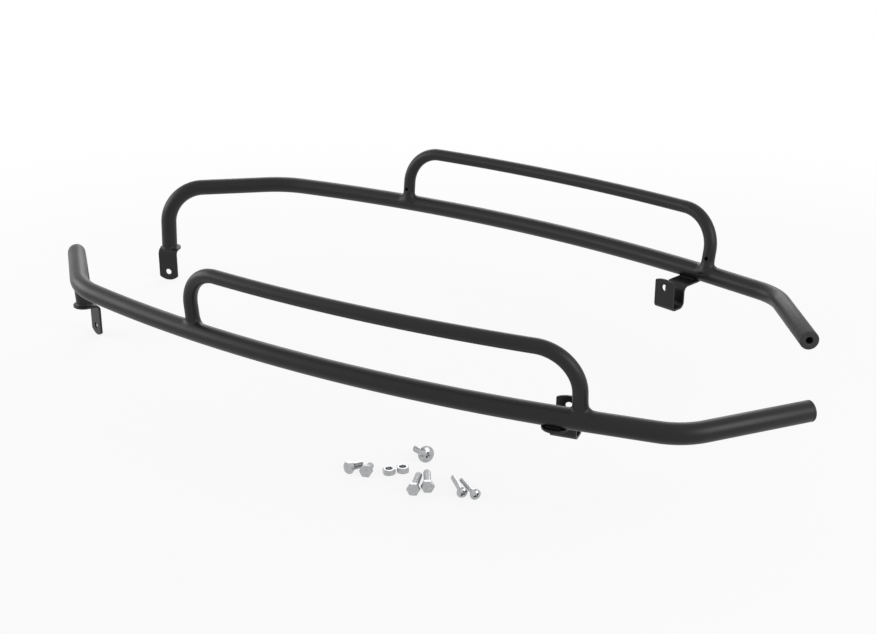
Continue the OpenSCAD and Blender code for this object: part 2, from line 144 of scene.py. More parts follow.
@dataclass(frozen=True)
class Finish:
    """What all finishes share: a name, a colour, a roughness and patterns in the piece's own coordinates."""

    name: str
    colour: str
    roughness: float

    def begin(self) -> tuple[bpy.types.Material, Tree, Socket]:
        """Makes the material.

        Returns:
            The material, its empty node tree and the piece's own coordinates.
        """
        made = bpy.data.materials.new(self.name)
        made.use_nodes = True
        made.node_tree.nodes.clear()
        return made, made.node_tree, add_node(made.node_tree, "ShaderNodeTexCoord").outputs["Object"]

    def cloudy(self, tree: Tree, where: Socket, size_mm: float, other_colour: str, spread: Flat) -> Links:
        """Varies the colour and the gloss together, in soft patches.

        Args:
            tree: the material's node tree.
            where: the coordinates.
            size_mm: width of the patches.
            other_colour: the colour that the patches tend to.
            spread: how far the roughness falls and rises.

        Returns:
            The links for the shader's colour and roughness.
        """
        patches = add_node(tree, "ShaderNodeTexNoise", {"Scale": per_metre(size_mm), "Detail": 3.0}, {"Vector": where})
        ends = {"6": linear(self.colour), "7": linear(other_colour)}
        colour = add_node(tree, "ShaderNodeMix", {"data_type": "RGBA"} | ends, {"0": patches.outputs["Fac"]})
        rough = {"To Min": self.roughness - spread[0], "To Max": self.roughness + spread[1]}
        gloss = add_node(
            tree, "ShaderNodeMapRange", {"From Min": 0.3, "From Max": 0.7} | rough, {"Value": patches.outputs["Fac"]}
        )
        return {"Base Color": colour.outputs[2], "Roughness": gloss.outputs["Result"]}

    def close(self, made: bpy.types.Material, settings: Settings, links: Links) -> bpy.types.Material:
        """Adds the shader and the output.

        Args:
            made: the material so far.
            settings: the shader's constants.
            links: what feeds the shader.

        Returns:
            The finished material.
        """
        shader = add_node(made.node_tree, "ShaderNodeBsdfPrincipled", settings, links)
        add_node(made.node_tree, "ShaderNodeOutputMaterial", links={"Surface": shader.outputs["BSDF"]})
        return made

    def relief(self, tree: Tree, where: Socket, layers: Sequence[tuple[float, float, Settings]]) -> Links:
        """Gives the skin its fine relief, one pattern on another.

        Args:
            tree: the material's node tree.
            where: the coordinates.
            layers: each pattern's width in millimetres, its depth in millimetres and its noise settings.

        Returns:
            The link for the shader's normal.
        """
        normal: Links = {}
        for size_mm, depth_mm, settings in layers:
            noise = add_node(tree, "ShaderNodeTexNoise", {"Scale": per_metre(size_mm)} | settings, {"Vector": where})
            depth = {"Strength": 1.0, "Distance": depth_mm * MM}
            bump = add_node(tree, "ShaderNodeBump", depth, {"Height": noise.outputs["Fac"]} | normal)
            normal = {"Normal": bump.outputs["Normal"]}
        return normal


@dataclass(frozen=True)
class PowderCoatedSteel(Finish):
    """Mild steel tube and plate, blasted and electrostatically coated with satin black polyester powder.

    The baked powder flows into a skin that is never quite flat. The eye gets a broad soft highlight that breaks up
    very finely, because of the orange peel, and edges that look drawn in soft pencil, not cut.
    """

    name: str = "satin_black_powder_coat_on_steel"
    colour: str = "#151516"
    thin_colour: str = "#19191a"
    roughness: float = 0.4
    hand_mm: float = 45.0
    peel_mm: float = 1.6
    peel_depth_mm: float = 0.012
    grain_mm: float = 0.35
    grain_depth_mm: float = 0.0025

    def material(self) -> bpy.types.Material:
        """Builds the coat: orange peel, fine powder grain and slow changes of gloss and depth of colour.

        Returns:
            The material.
        """
        made, tree, where = self.begin()
        # The powder lies thicker and thinner over about the width of a hand
        varied = self.cloudy(tree, where, self.hand_mm, self.thin_colour, (0.03, 0.04))
        peel = (self.peel_mm, self.peel_depth_mm, {"Detail": 1.0, "Roughness": 0.4})
        grain = (self.grain_mm, self.grain_depth_mm, {"Detail": 2.0, "Roughness": 0.6})
        links = varied | self.relief(tree, where, (peel, grain))
        return self.close(made, {"IOR": 1.5, "Specular IOR Level": 0.3}, links)


@dataclass(frozen=True)
class ZincPlatedSteel(Finish):
    """Cold headed steel fasteners, barrel plated with bright zinc and passivated clear.

    Tumbling in the barrel dulls the plating with a fine overlapping scuff. The eye gets a pale blue-white metal whose
    reflections are soft, with faint cloudy patches where the passivation is thicker.
    """

    name: str = "clear_passivated_zinc_plate_on_steel"
    colour: str = "#c4c6c7"
    cloudy_colour: str = "#959798"
    roughness: float = 0.22
    cloud_mm: float = 3.2
    scuff_mm: float = 0.5
    scuff_depth_mm: float = 0.006

    def material(self) -> bpy.types.Material:
        """Builds the plating: cloudy passivation over a finely scuffed bright metal.

        Returns:
            The material.
        """
        made, tree, where = self.begin()
        varied = self.cloudy(tree, where, self.cloud_mm, self.cloudy_colour, (0.05, 0.08))
        scuff = (self.scuff_mm, self.scuff_depth_mm, {"Detail": 2.0, "Distortion": 0.6})
        links = varied | self.relief(tree, where, (scuff,))
        return self.close(made, {"Metallic": 1.0}, links)


@dataclass(frozen=True)
class MouldedPolyethylene(Finish):
    """Black low density polyethylene, injection moulded in a spark eroded tool.

    The tool's texture comes off on the part. The eye gets a soft, slightly greasy black that is duller than the coated
    tube beside it and hardly shows a highlight.
    """

    name: str = "moulded_black_polyethylene"
    colour: str = "#1b1b1c"
    roughness: float = 0.55
    spark_mm: float = 0.45
    spark_depth_mm: float = 0.02

    def material(self) -> bpy.types.Material:
        """Builds the plastic: an even black with the pebbled skin of a spark eroded mould.

        Returns:
            The material.
        """
        made, tree, where = self.begin()
        pebbles = add_node(tree, "ShaderNodeTexVoronoi", {"Scale": per_metre(self.spark_mm)}, {"Vector": where})
        depth = {"Strength": 0.8, "Distance": self.spark_depth_mm * MM}
        skin = add_node(tree, "ShaderNodeBump", depth, {"Height": pebbles.outputs["Distance"]})
        even = {"Base Color": linear(self.colour), "Roughness": self.roughness, "IOR": 1.51}
        return self.close(made, even, {"Normal": skin.outputs["Normal"]})


@dataclass
class Finishes:
    """The object's three finishes, each made once."""

    coat: bpy.types.Material = field(default_factory=lambda: PowderCoatedSteel().material())
    zinc: bpy.types.Material = field(default_factory=lambda: ZincPlatedSteel().material())
    plastic: bpy.types.Material = field(default_factory=lambda: MouldedPolyethylene().material())


class Slot(Enum):
    """The record's material slots."""

    COAT = "coated_steel"
    PLASTIC = "plug_plastic"
    ZINC = "zinc_steel"


# Meshes


@dataclass
class Skin:
    """Points and faces that grow into one mesh, in millimetres."""

    points: list[Vector] = field(default_factory=list)
    faces: list[tuple[int, ...]] = field(default_factory=list)

    def ring(self, points: Sequence[Vector]) -> list[int]:
        """Adds a ring of points.

        Args:
            points: the ring's points.

        Returns:
            Their numbers.
        """
        start = len(self.points)
        self.points.extend(points)
        return list(range(start, len(self.points)))

    def wheel(self, radii: Sequence[float], heights: Sequence[float]) -> list[int]:
        """Adds a ring about the Z axis, with a radius and a height for each point, and returns its numbers."""
        spots = zip(turns(len(radii)), radii, heights)
        return self.ring([Vector((r * math.cos(a), r * math.sin(a), z)) for a, r, z in spots])

    def disc(self, radius: float, height: float, count: int) -> list[int]:
        """Adds a level round ring about the Z axis and returns its numbers."""
        return self.wheel([radius] * count, [height] * count)

    def bridge(self, first: Sequence[int], second: Sequence[int]) -> None:
        """Joins two closed rings of equal count with a band of faces.

        Args:
            first: the numbers of one ring.
            second: the numbers of the other.
        """
        for i in range(len(first)):
            after = (i + 1) % len(first)
            self.faces.append((first[i], first[after], second[after], second[i]))

    def stack(self, rings: Sequence[Sequence[int]], closed: bool = False) -> None:
        """Joins each ring to the next, and the last to the first where the stack is closed."""
        for low, high in zip(rings, list(rings[1:]) + ([rings[0]] if closed else [])):
            self.bridge(low, high)

    def fan(self, ring: Sequence[int], centre: Vector) -> None:
        """Closes a ring with triangles to one centre point."""
        middle = self.ring([centre])[0]
        self.faces += [(ring[i], ring[(i + 1) % len(ring)], middle) for i in range(len(ring))]

    def piece(self, name: str, place: Place, sharp_degrees: float = 35.0) -> Piece:
        """Makes the object.

        Args:
            name: the piece's name.
            place: takes a point in millimetres to its place in the scene, in metres.
            sharp_degrees: edges that turn more than this are drawn sharp.

        Returns:
            The new object, linked to the scene.
        """
        mesh = bpy.data.meshes.new(name)
        mesh.from_pydata([place(p) for p in self.points], [], self.faces)
        work = bmesh.new()
        work.from_mesh(mesh)
        bmesh.ops.remove_doubles(work, verts=work.verts, dist=0.002 * MM)
        bmesh.ops.recalc_face_normals(work, faces=work.faces)
        work.to_mesh(mesh)
        work.free()
        made = bpy.data.objects.new(name, mesh)
        bpy.context.scene.collection.objects.link(made)
        shade(made, sharp_degrees)
        return made


def shade(piece: Piece, sharp_degrees: float) -> None:
    """Shades a piece smooth, with edges over an angle kept sharp.

    Args:
        piece: the piece.
        sharp_degrees: edges that turn more than this are drawn sharp.
    """
    piece.data.polygons.foreach_set("use_smooth", [True] * len(piece.data.polygons))
    piece.data.set_sharp_from_angle(angle=math.radians(sharp_degrees))
    piece.data.update()


def cut(piece: Piece, cutters: Sequence[Piece], sharp_degrees: float = 35.0) -> None:
    """Cuts holes in a piece and removes the cutters.

    Args:
        piece: the closed piece that is cut.
        cutters: closed pieces that give the holes' shapes.
        sharp_degrees: edges that turn more than this are drawn sharp.
    """
    for cutter in cutters:
        modifier = piece.modifiers.new("cut", "BOOLEAN")
        modifier.object = cutter
        modifier.solver = "EXACT"
    bpy.context.view_layer.update()
    evaluated = piece.evaluated_get(bpy.context.evaluated_depsgraph_get())
    mesh = bpy.data.meshes.new_from_object(evaluated)
    piece.modifiers.clear()
    piece.data = mesh
    for cutter in cutters:
        bpy.data.objects.remove(cutter)
    shade(piece, sharp_degrees)


def dress(piece: Piece, material: bpy.types.Material, slot: Slot, node: str) -> None:
    """Gives a new piece its finish and its place in the frame.

    Args:
        piece: the new piece.
        material: its finish.
        slot: the record's slot for that finish; not used.
        node: the CAD node that the piece stands for.
    """
    piece.data.materials.clear()
    piece.data.materials.append(material)
    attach(piece, "root")
    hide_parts(node)
    log.info("%s: %d faces", piece.name, len(piece.data.polygons))


def turned(profile: Sequence[Flat], count: int) -> Skin:
    """Turns a closed profile about the Z axis.

    Args:
        profile: radius and height of each corner, in order round the section.
        count: steps round the axis.

    Returns:
        The closed skin.
    """
    skin = Skin()
    skin.stack([skin.disc(radius, height, count) for radius, height in profile], closed=True)
    return skin


# Bars


class Side(Enum):
    """The two bars, mirror images of each other."""

    RIGHT = "right"
    LEFT = "left"


class End(Enum):
    """The two feet of a hoop."""

    REAR = "rear"
    FRONT = "front"


@dataclass(frozen=True)
class Layout:
    """Where the two bars and the loose fasteners stand on the floor, in millimetres."""

    stagger: float = 64.0
    origin_x: float = 488.422

    def foot_x(self, side: Side) -> float:
        """Forward place of a bar's rear leg."""
        return (self.stagger if side is Side.RIGHT else -self.stagger) / 2 - self.origin_x

    def bar(self, side: Side) -> Place:
        """Places a bar on the floor.

        Args:
            side: the bar.

        Returns:
            The mapping from its own millimetres to the scene.
        """
        shift = self.foot_x(side)
        outward = -1.0 if side is Side.RIGHT else 1.0

        def place(point: Vector) -> Vector:
            """Takes a point of the bar to the scene."""
            return Vector((point.x + shift, outward * point.y, point.z)) * MM

        return place

    def loose(self, at: Flat, turn: float, rise: float = 0.0, tilt: float = 0.0) -> Place:
        """Returns the mapping from a fastener's own millimetres to the scene.

        Args:
            at: forward and outward place, from the right bar's leg and the middle plane.
            turn: heading on the floor, in degrees.
            rise: height of the fastener's origin above the floor.
            tilt: turn about Y, in degrees, that lays it down.

        Returns:
            The mapping.
        """
        shift = Vector((self.foot_x(Side.RIGHT) + at[0], -at[1], rise))
        turned_to = Matrix.Rotation(math.radians(turn), 3, "Z") @ Matrix.Rotation(math.radians(tilt), 3, "Y")

        def place(point: Vector) -> Vector:
            """Takes a point of the fastener to the scene."""
            return (turned_to @ point + shift) * MM

        return place


@dataclass(frozen=True)
class Station:
    """One place along a tube: its centre, direction and the two directions across it."""

    at: Vector
    along: Vector
    across: Vector
    up: Vector

    def ring(self, radius: float, count: int, shift: float = 0.0) -> list[Vector]:
        """Ring of points square to the tube, shifted along it."""
        centre = self.at + self.along * shift
        return [centre + (self.across * math.cos(a) + self.up * math.sin(a)) * radius for a in turns(count)]


@dataclass(frozen=True)
class BentPath:
    """A tube's centre line, with a bend at each inner corner."""

    corners: tuple[Vector, ...]
    radii: tuple[float, ...]
    turn_step: float = 3.0
    stride: float = 9.0

    def trim(self, i: int) -> float:
        """Finds what a bend takes from each side of its corner.

        Args:
            i: the bend's number.

        Returns:
            The length.
        """
        before = self.corners[i] - self.corners[i - 1]
        after = self.corners[i + 1] - self.corners[i]
        return self.radii[i] * math.tan(before.angle(after) / 2)

    def stations(self) -> list[Station]:
        """Walks along the path, in steps of at most turn_step degrees or stride millimetres on a bend.

        Returns:
            The stations from end to end, whose cross directions never twist.
        """
        headings = [(b - a).normalized() for a, b in zip(self.corners, self.corners[1:])]
        spots = [(self.corners[0], headings[0])]
        for i, (start_dir, end_dir) in enumerate(zip(headings, headings[1:]), 1):
            turn = start_dir.angle(end_dir)
            start = self.corners[i] - start_dir * self.trim(i)
            inward = (end_dir - start_dir * start_dir.dot(end_dir)).normalized()
            steps = max(math.ceil(math.degrees(turn) / self.turn_step), math.ceil(turn * self.radii[i] / self.stride))
            for k in range(steps + 1):
                a = turn * k / steps
                point = start + self.radii[i] * (start_dir * math.sin(a) + inward * (1 - math.cos(a)))
                spots.append((point, start_dir * math.cos(a) + inward * math.sin(a)))
        spots.append((self.corners[-1], headings[-1]))
        along = spots[0][1]
        across = along.cross(UP if abs(along.z) < 0.9 else Vector((1, 0, 0))).normalized()
        walked = []
        for point, direction in spots:
            across = (across - direction * direction.dot(across)).normalized()
            walked.append(Station(point, direction, across, direction.cross(across)))
        return walked


@dataclass(frozen=True)
class BarShape:
    """The sizes of one bar that several of its pieces share, in millimetres, as the part's source has them."""

    main_r: float = 11.0
    main_wall: float = 2.0
    hoop_r: float = 8.0
    hoop_wall: float = 1.6
    run_up: float = 134.0
    foot_up: float = 46.5
    main_corners: tuple[tuple[float, float, float], ...] = (
        (0.0, 116.5, 46.5),
        (-1.0, 121.5, 134.0),
        (125.5, 236.5, 134.0),
        (487.5, 302.5, 134.0),
        (899.0, 202.0, 134.0),
        (981.5, 87.5, 136.5),
    )
    leg_bend: float = 52.0
    corner_bend: float = 105.0
    nose_bend: float = 67.0
    hoop_bend: float = 45.0
    hoop_rear_x: float = 330.0
    hoop_front_x: float = 799.5
    hoop_rise: float = 75.0
    hoop_rear_lean: float = 8.5
    hoop_front_lean: float = 12.0
    hoop_slope: float = 3.0
    hoop_rear_inset: float = 4.5
    hoop_front_inset: float = 3.5
    hoop_belly: Flat = (568.5, 280.0)
    foot_share: float = 0.4
    straight_left: float = 1.0
    plate: float = 3.0
    rear_turn: float = 70.0
    rear_reach: float = 15.1
    rear_fold: float = 5.0
    front_x: float = 776.0
    front_pad_top: float = 123.4

    def main_path(self) -> BentPath:
        """The main tube's centre line, whose bow takes all the length that its neighbours leave."""
        corners = tuple(Vector(c) for c in self.main_corners)
        return self.with_bow(corners, [0.0, self.leg_bend, self.corner_bend, 1.0, self.nose_bend, 0.0], 3)

    def hoop_path(self) -> BentPath:
        """The hoop's centre line, from just inside the run and back.

        Returns:
            The path.
        """
        rear, front = self.hoop_foot(End.REAR), self.hoop_foot(End.FRONT)
        rear_leg, front_leg = self.hoop_leg(End.REAR), self.hoop_leg(End.FRONT)
        start = self.main_r * self.foot_share / self.hoop_rise
        belly = Vector((*self.hoop_belly, self.run_up + self.hoop_rise))
        corners = (rear + rear_leg * start, rear + rear_leg, belly, front + front_leg, front + front_leg * start)
        return self.with_bow(corners, [0.0, self.hoop_bend, 1.0, self.hoop_bend, 0.0], 2)

    def with_bow(self, corners: tuple[Vector, ...], radii: list[float], bow: int) -> BentPath:
        """Gives the path's bow the radius that uses up the straights beside it.

        Args:
            corners: the path's corners.
            radii: the bend radii, with any value for the bow.
            bow: the bow's number.

        Returns:
            The whole path.
        """
        rough = BentPath(corners, tuple(radii))
        before, after = corners[bow] - corners[bow - 1], corners[bow + 1] - corners[bow]
        room = min(before.length - rough.trim(bow - 1), after.length - rough.trim(bow + 1))
        radii[bow] = (room - self.straight_left) / math.tan(before.angle(after) / 2)
        return BentPath(corners, tuple(radii))

    def bow_centre(self) -> Vector:
        """Finds the centre of the main tube's long bow.

        Returns:
            The centre.
        """
        path = self.main_path()
        corner = path.corners[3]
        back = (path.corners[2] - corner).normalized()
        on = (path.corners[4] - corner).normalized()
        return corner + (back + on).normalized() * math.hypot(path.radii[3], path.trim(3))

    def run_out(self, x: float) -> float:
        """Outward distance of the run's centre line at a forward distance."""
        centre, radius = self.bow_centre(), self.main_path().radii[3]
        return centre.y + math.sqrt(radius**2 - (x - centre.x) ** 2)

    def hoop_foot(self, end: End) -> Vector:
        """Finds where a hoop leg's axis meets the level of the run's centre line.

        Args:
            end: the leg's end of the hoop.

        Returns:
            The place.
        """
        x = self.hoop_rear_x if end is End.REAR else self.hoop_front_x
        inset = self.hoop_rear_inset if end is End.REAR else self.hoop_front_inset
        return Vector((x, self.run_out(x) - inset, self.run_up))

    def hoop_leg(self, end: End) -> Vector:
        """A hoop leg, from the run's level to its corner.

        Args:
            end: the leg's end of the hoop.

        Returns:
            The vector.
        """
        if end is End.REAR:
            return Vector((0, self.hoop_rear_lean, self.hoop_rise))
        return Vector((self.hoop_slope, self.hoop_front_lean, self.hoop_rise))

    def run_distance(self) -> Distance:
        """Measures from the skin of the run's bow.

        Returns:
            The distance function, negative inside.
        """
        centre, radius = self.bow_centre(), self.main_path().radii[3]

        def distance(p: Vector) -> float:
            """Distance from the run's skin."""
            return math.hypot(math.hypot(p.x - centre.x, p.y - centre.y) - radius, p.z - self.run_up) - self.main_r

        return distance

    def rear_ahead(self) -> Vector:
        """Direction in which the rear bracket runs out to its fold."""
        turn = math.radians(self.rear_turn)
        return Vector((math.cos(turn), -math.sin(turn), 0))

    def front_seat(self) -> tuple[Vector, Vector]:
        """Finds the front bracket's seat.

        Returns:
            Its place under the run, at the floor's level, and the direction outward from the bow.
        """
        at = Vector((self.front_x, self.run_out(self.front_x), 0))
        out = at - self.bow_centre()
        return at, Vector((out.x, out.y, 0)).normalized()


@dataclass
class BarPart:
    """What the sub-assemblies of one bar share."""

    side: Side
    shape: BarShape
    layout: Layout
    finishes: Finishes

    def place(self) -> Place:
        """Returns the mapping from the bar's own millimetres to the scene."""
        return self.layout.bar(self.side)

    def add(self, skin: Skin, name: str, node: str, sharp: float = 35.0, cutters: Sequence[Piece] = ()) -> Piece:
        """Makes and dresses a coated piece of the bar.

        Args:
            skin: the piece's skin.
            name: the piece's name, without the side.
            node: the CAD node that it stands for, without the side.
            sharp: edges that turn more than this many degrees are drawn sharp.
            cutters: closed pieces that cut holes in it.

        Returns:
            The piece.
        """
        made = skin.piece(f"{self.side.value}_{name}", self.place(), sharp)
        if cutters:
            cut(made, cutters)
        dress(made, self.finishes.coat, Slot.COAT, f"{self.side.value}_{node}")
        return made


@dataclass
class BentTubes(BarPart):
    """A bar's main tube and its hoop."""

    round_steps: int = 56
    lip: float = 0.5
    hoop_seat: float = -0.3
    vent_d: float = 4.5
    vent_up: float = 21.0
    vent_from: float = 1.0
    vent_flare: tuple[Flat, ...] = ((0.0, -0.75), (0.12, -0.4), (0.42, -0.1), (0.8, 0.12), (0.8, 2.0))
    vent_steps: int = 32

    def sweep(self, path: BentPath, radius: float, wall: float, fit_start: Fit, fit_end: Fit | None = None) -> Skin:
        """Sweeps a hollow tube along a path.

        Args:
            path: the centre line.
            radius: outside radius.
            wall: wall thickness.
            fit_start: slides a point along the first direction to where the tube is cut.
            fit_end: the same for the last end, or None for a square end.

        Returns:
            The closed skin, outside and bore.
        """
        stations = path.stations()
        layers = []
        for r in (radius, radius - wall):
            rings = [s.ring(r, self.round_steps) for s in stations]
            rings[0] = [fit_start(p, stations[0].along) for p in rings[0]]
            if fit_end:
                rings[-1] = [fit_end(p, -stations[-1].along) for p in rings[-1]]
            layers.append(rings)
        outer, inner = layers
        if not fit_end:
            # A square end has its sharp corner rounded by deburring and coating
            outer.pop()
            for degrees in (0, 30, 60, 90):
                a = math.radians(degrees)
                ring_r = radius - self.lip * (1 - math.cos(a))
                outer.append(stations[-1].ring(ring_r, self.round_steps, self.lip * (math.sin(a) - 1)))
        skin = Skin()
        skin.stack([skin.ring(r) for r in outer + inner[::-1]], closed=True)
        return skin

    def main_skin(self) -> Skin:
        """The main tube, cut level at its foot and square at its front end.

        Returns:
            Its skin.
        """

        def level(point: Vector, along: Vector) -> Vector:
            """Slides a point to the foot's level."""
            return point + along * ((self.shape.foot_up - point.z) / along.z)

        return self.sweep(self.shape.main_path(), self.shape.main_r, self.shape.main_wall, level)

    def hoop_skin(self) -> Skin:
        """The hoop, coped at both feet to sit on the run.

        Returns:
            Its skin.
        """
        run, seat = self.shape.run_distance(), self.hoop_seat

        def cope(point: Vector, into: Vector) -> Vector:
            """Slides a point down the leg's wall to just inside the run's skin, where that wall meets the run."""
            if run(point) > seat:
                return point
            return point + into * farthest(lambda s: run(point + into * s) < seat, 0.0, self.shape.main_r, halvings=24)

        return self.sweep(self.shape.hoop_path(), self.shape.hoop_r, self.shape.hoop_wall, cope, cope)

    def vent_cutter(self, end: End) -> Piece:
        """Makes a cutter for the vent hole in a hoop leg, flared where the coat rounds the hole's rim.

        Args:
            end: the leg's end of the hoop.

        Returns:
            The cutter.
        """
        rise = self.shape.hoop_leg(end) / self.shape.hoop_rise
        at = self.shape.hoop_foot(end) + rise * self.vent_up
        inward = Vector((0, -rise.z, rise.y)).normalized()
        across = inward.cross(Vector((1, 0, 0))).normalized()
        beside = inward.cross(across)
        r = self.vent_d / 2
        flare = [(r + wider, self.shape.hoop_r + height) for wider, height in self.vent_flare]
        body = turned([(0.0, self.vent_from), (r, self.vent_from), *flare, (0.0, flare[-1][1])], self.vent_steps)
        body.points = [at + across * p.x + beside * p.y + inward * p.z for p in body.points]
        return body.piece("vent_cutter", self.place())

    def build(self) -> None:
        """Builds both tubes."""
        self.add(self.main_skin(), "bent_main_tube", "main_tube")
        self.add(self.hoop_skin(), "bowed_hoop", "hoop", cutters=[self.vent_cutter(end) for end in End])


# Welds


def rod_distance(start: Vector, axis: Vector, radius: float) -> Distance:
    """Returns the distance outside a rod that starts at a flat end and runs on.

    Args:
        start: centre of the flat end.
        axis: where the rod runs, of length 1.
        radius: the rod's radius.

    Returns:
        The distance function, negative inside the rod.
    """

    def distance(p: Vector) -> float:
        """Distance from the rod's skin."""
        along = (p - start).dot(axis)
        beside = (p - start - axis * along).length - radius
        if along >= 0:
            return max(beside, -along)
        return math.hypot(max(beside, 0.0), -along)

    return distance


@dataclass(frozen=True)
class Section:
    """One section of a weld bead: a point inside the joint, the directions of its zero and right angles, the angles
    in degrees between which its face is found, and the fillet's size."""

    root: Vector
    outward: Vector
    upward: Vector
    span: Flat
    size: float


@dataclass(frozen=True)
class FilletBead:
    """A weld bead in the corner between two skins, laid in overlapping ripples."""

    leg_mm: float = 4.0
    ripple_mm: float = 1.5
    ripple_height_mm: float = 0.13
    ripple_lag: float = 0.9
    ripple_fullness: float = 0.7
    toe_sunk: float = 0.3
    face_run: float = 1.6
    reach_legs: float = 3.5
    steps: int = 14
    marks: int = 28
    halvings: int = 14

    def surface(self, first: Distance, second: Distance, size: float) -> Distance:
        """Blends two skins with a hollow fillet, by the usual smooth minimum of two distances.

        Args:
            first: distance outside one skin.
            second: distance outside the other.
            size: the fillet's size.

        Returns:
            Distance outside the blend.
        """

        def distance(p: Vector) -> float:
            """Distance from the blended skin."""
            a, b = first(p), second(p)
            near = max(size - abs(a - b), 0.0) / size
            return min(a, b) - near * near * size / 4

        return distance

    def ripple(self, along: float, share: float) -> float:
        """Shapes the ripples.

        Args:
            along: length along the bead.
            share: share of the way across it.

        Returns:
            Their height there.
        """
        lag = self.ripple_lag * self.ripple_mm * (2 * share - 1) ** 2
        phase = ((along + lag) / self.ripple_mm) % 1.0
        return self.ripple_height_mm * (math.sin(math.pi * phase) ** self.ripple_fullness) * math.sin(math.pi * share)

    def lay(self, sections: Sequence[Section], first: Distance, second: Distance, closed: bool) -> Skin:
        """Lays the bead through its sections.

        Args:
            sections: the bead's course.
            first: distance outside one skin.
            second: distance outside the other.
            closed: whether the bead ends where it starts.

        Returns:
            The bead.
        """
        skin = Skin()
        rings = []
        run = 0.0
        for k, section in enumerate(sections):
            if k:
                # The face lies outside the root, so it is longer
                run += (section.root - sections[k - 1].root).length * self.face_run
            surface = self.surface(first, second, section.size)
            points = []
            for i in range(self.steps + 1):
                share = i / self.steps
                angle = math.radians(section.span[0] * (1 - share) + section.span[1] * share)
                ray = section.outward * math.cos(angle) + section.upward * math.sin(angle)
                reach = self.march(surface, section.root, ray)
                if i in (0, self.steps):
                    reach -= self.toe_sunk
                reach += self.ripple(run, share) * min(1.0, section.size / self.leg_mm)
                points.append(section.root + ray * reach)
            rings.append(skin.ring(points + [section.root]))
        skin.stack(rings, closed)
        if not closed:
            skin.fan(rings[0], sections[0].root)
            skin.fan(rings[-1], sections[-1].root)
        return skin

    def march(self, surface: Distance, start: Vector, ray: Vector) -> float:
        """Follows a ray to where it leaves a surface for good.

        Args:
            surface: distance outside the surface.
            start: a point inside it.
            ray: the direction.

        Returns:
            The distance from the start.
        """
        reach = self.reach_legs * self.leg_mm
        low, high = 0.0, reach
        for i in range(self.marks, 0, -1):
            if surface(start + ray * (reach * i / self.marks)) < 0:
                low, high = reach * i / self.marks, reach * (i + 1) / self.marks
                break
        return farthest(lambda s: surface(start + ray * s) < 0, low, high, self.halvings)


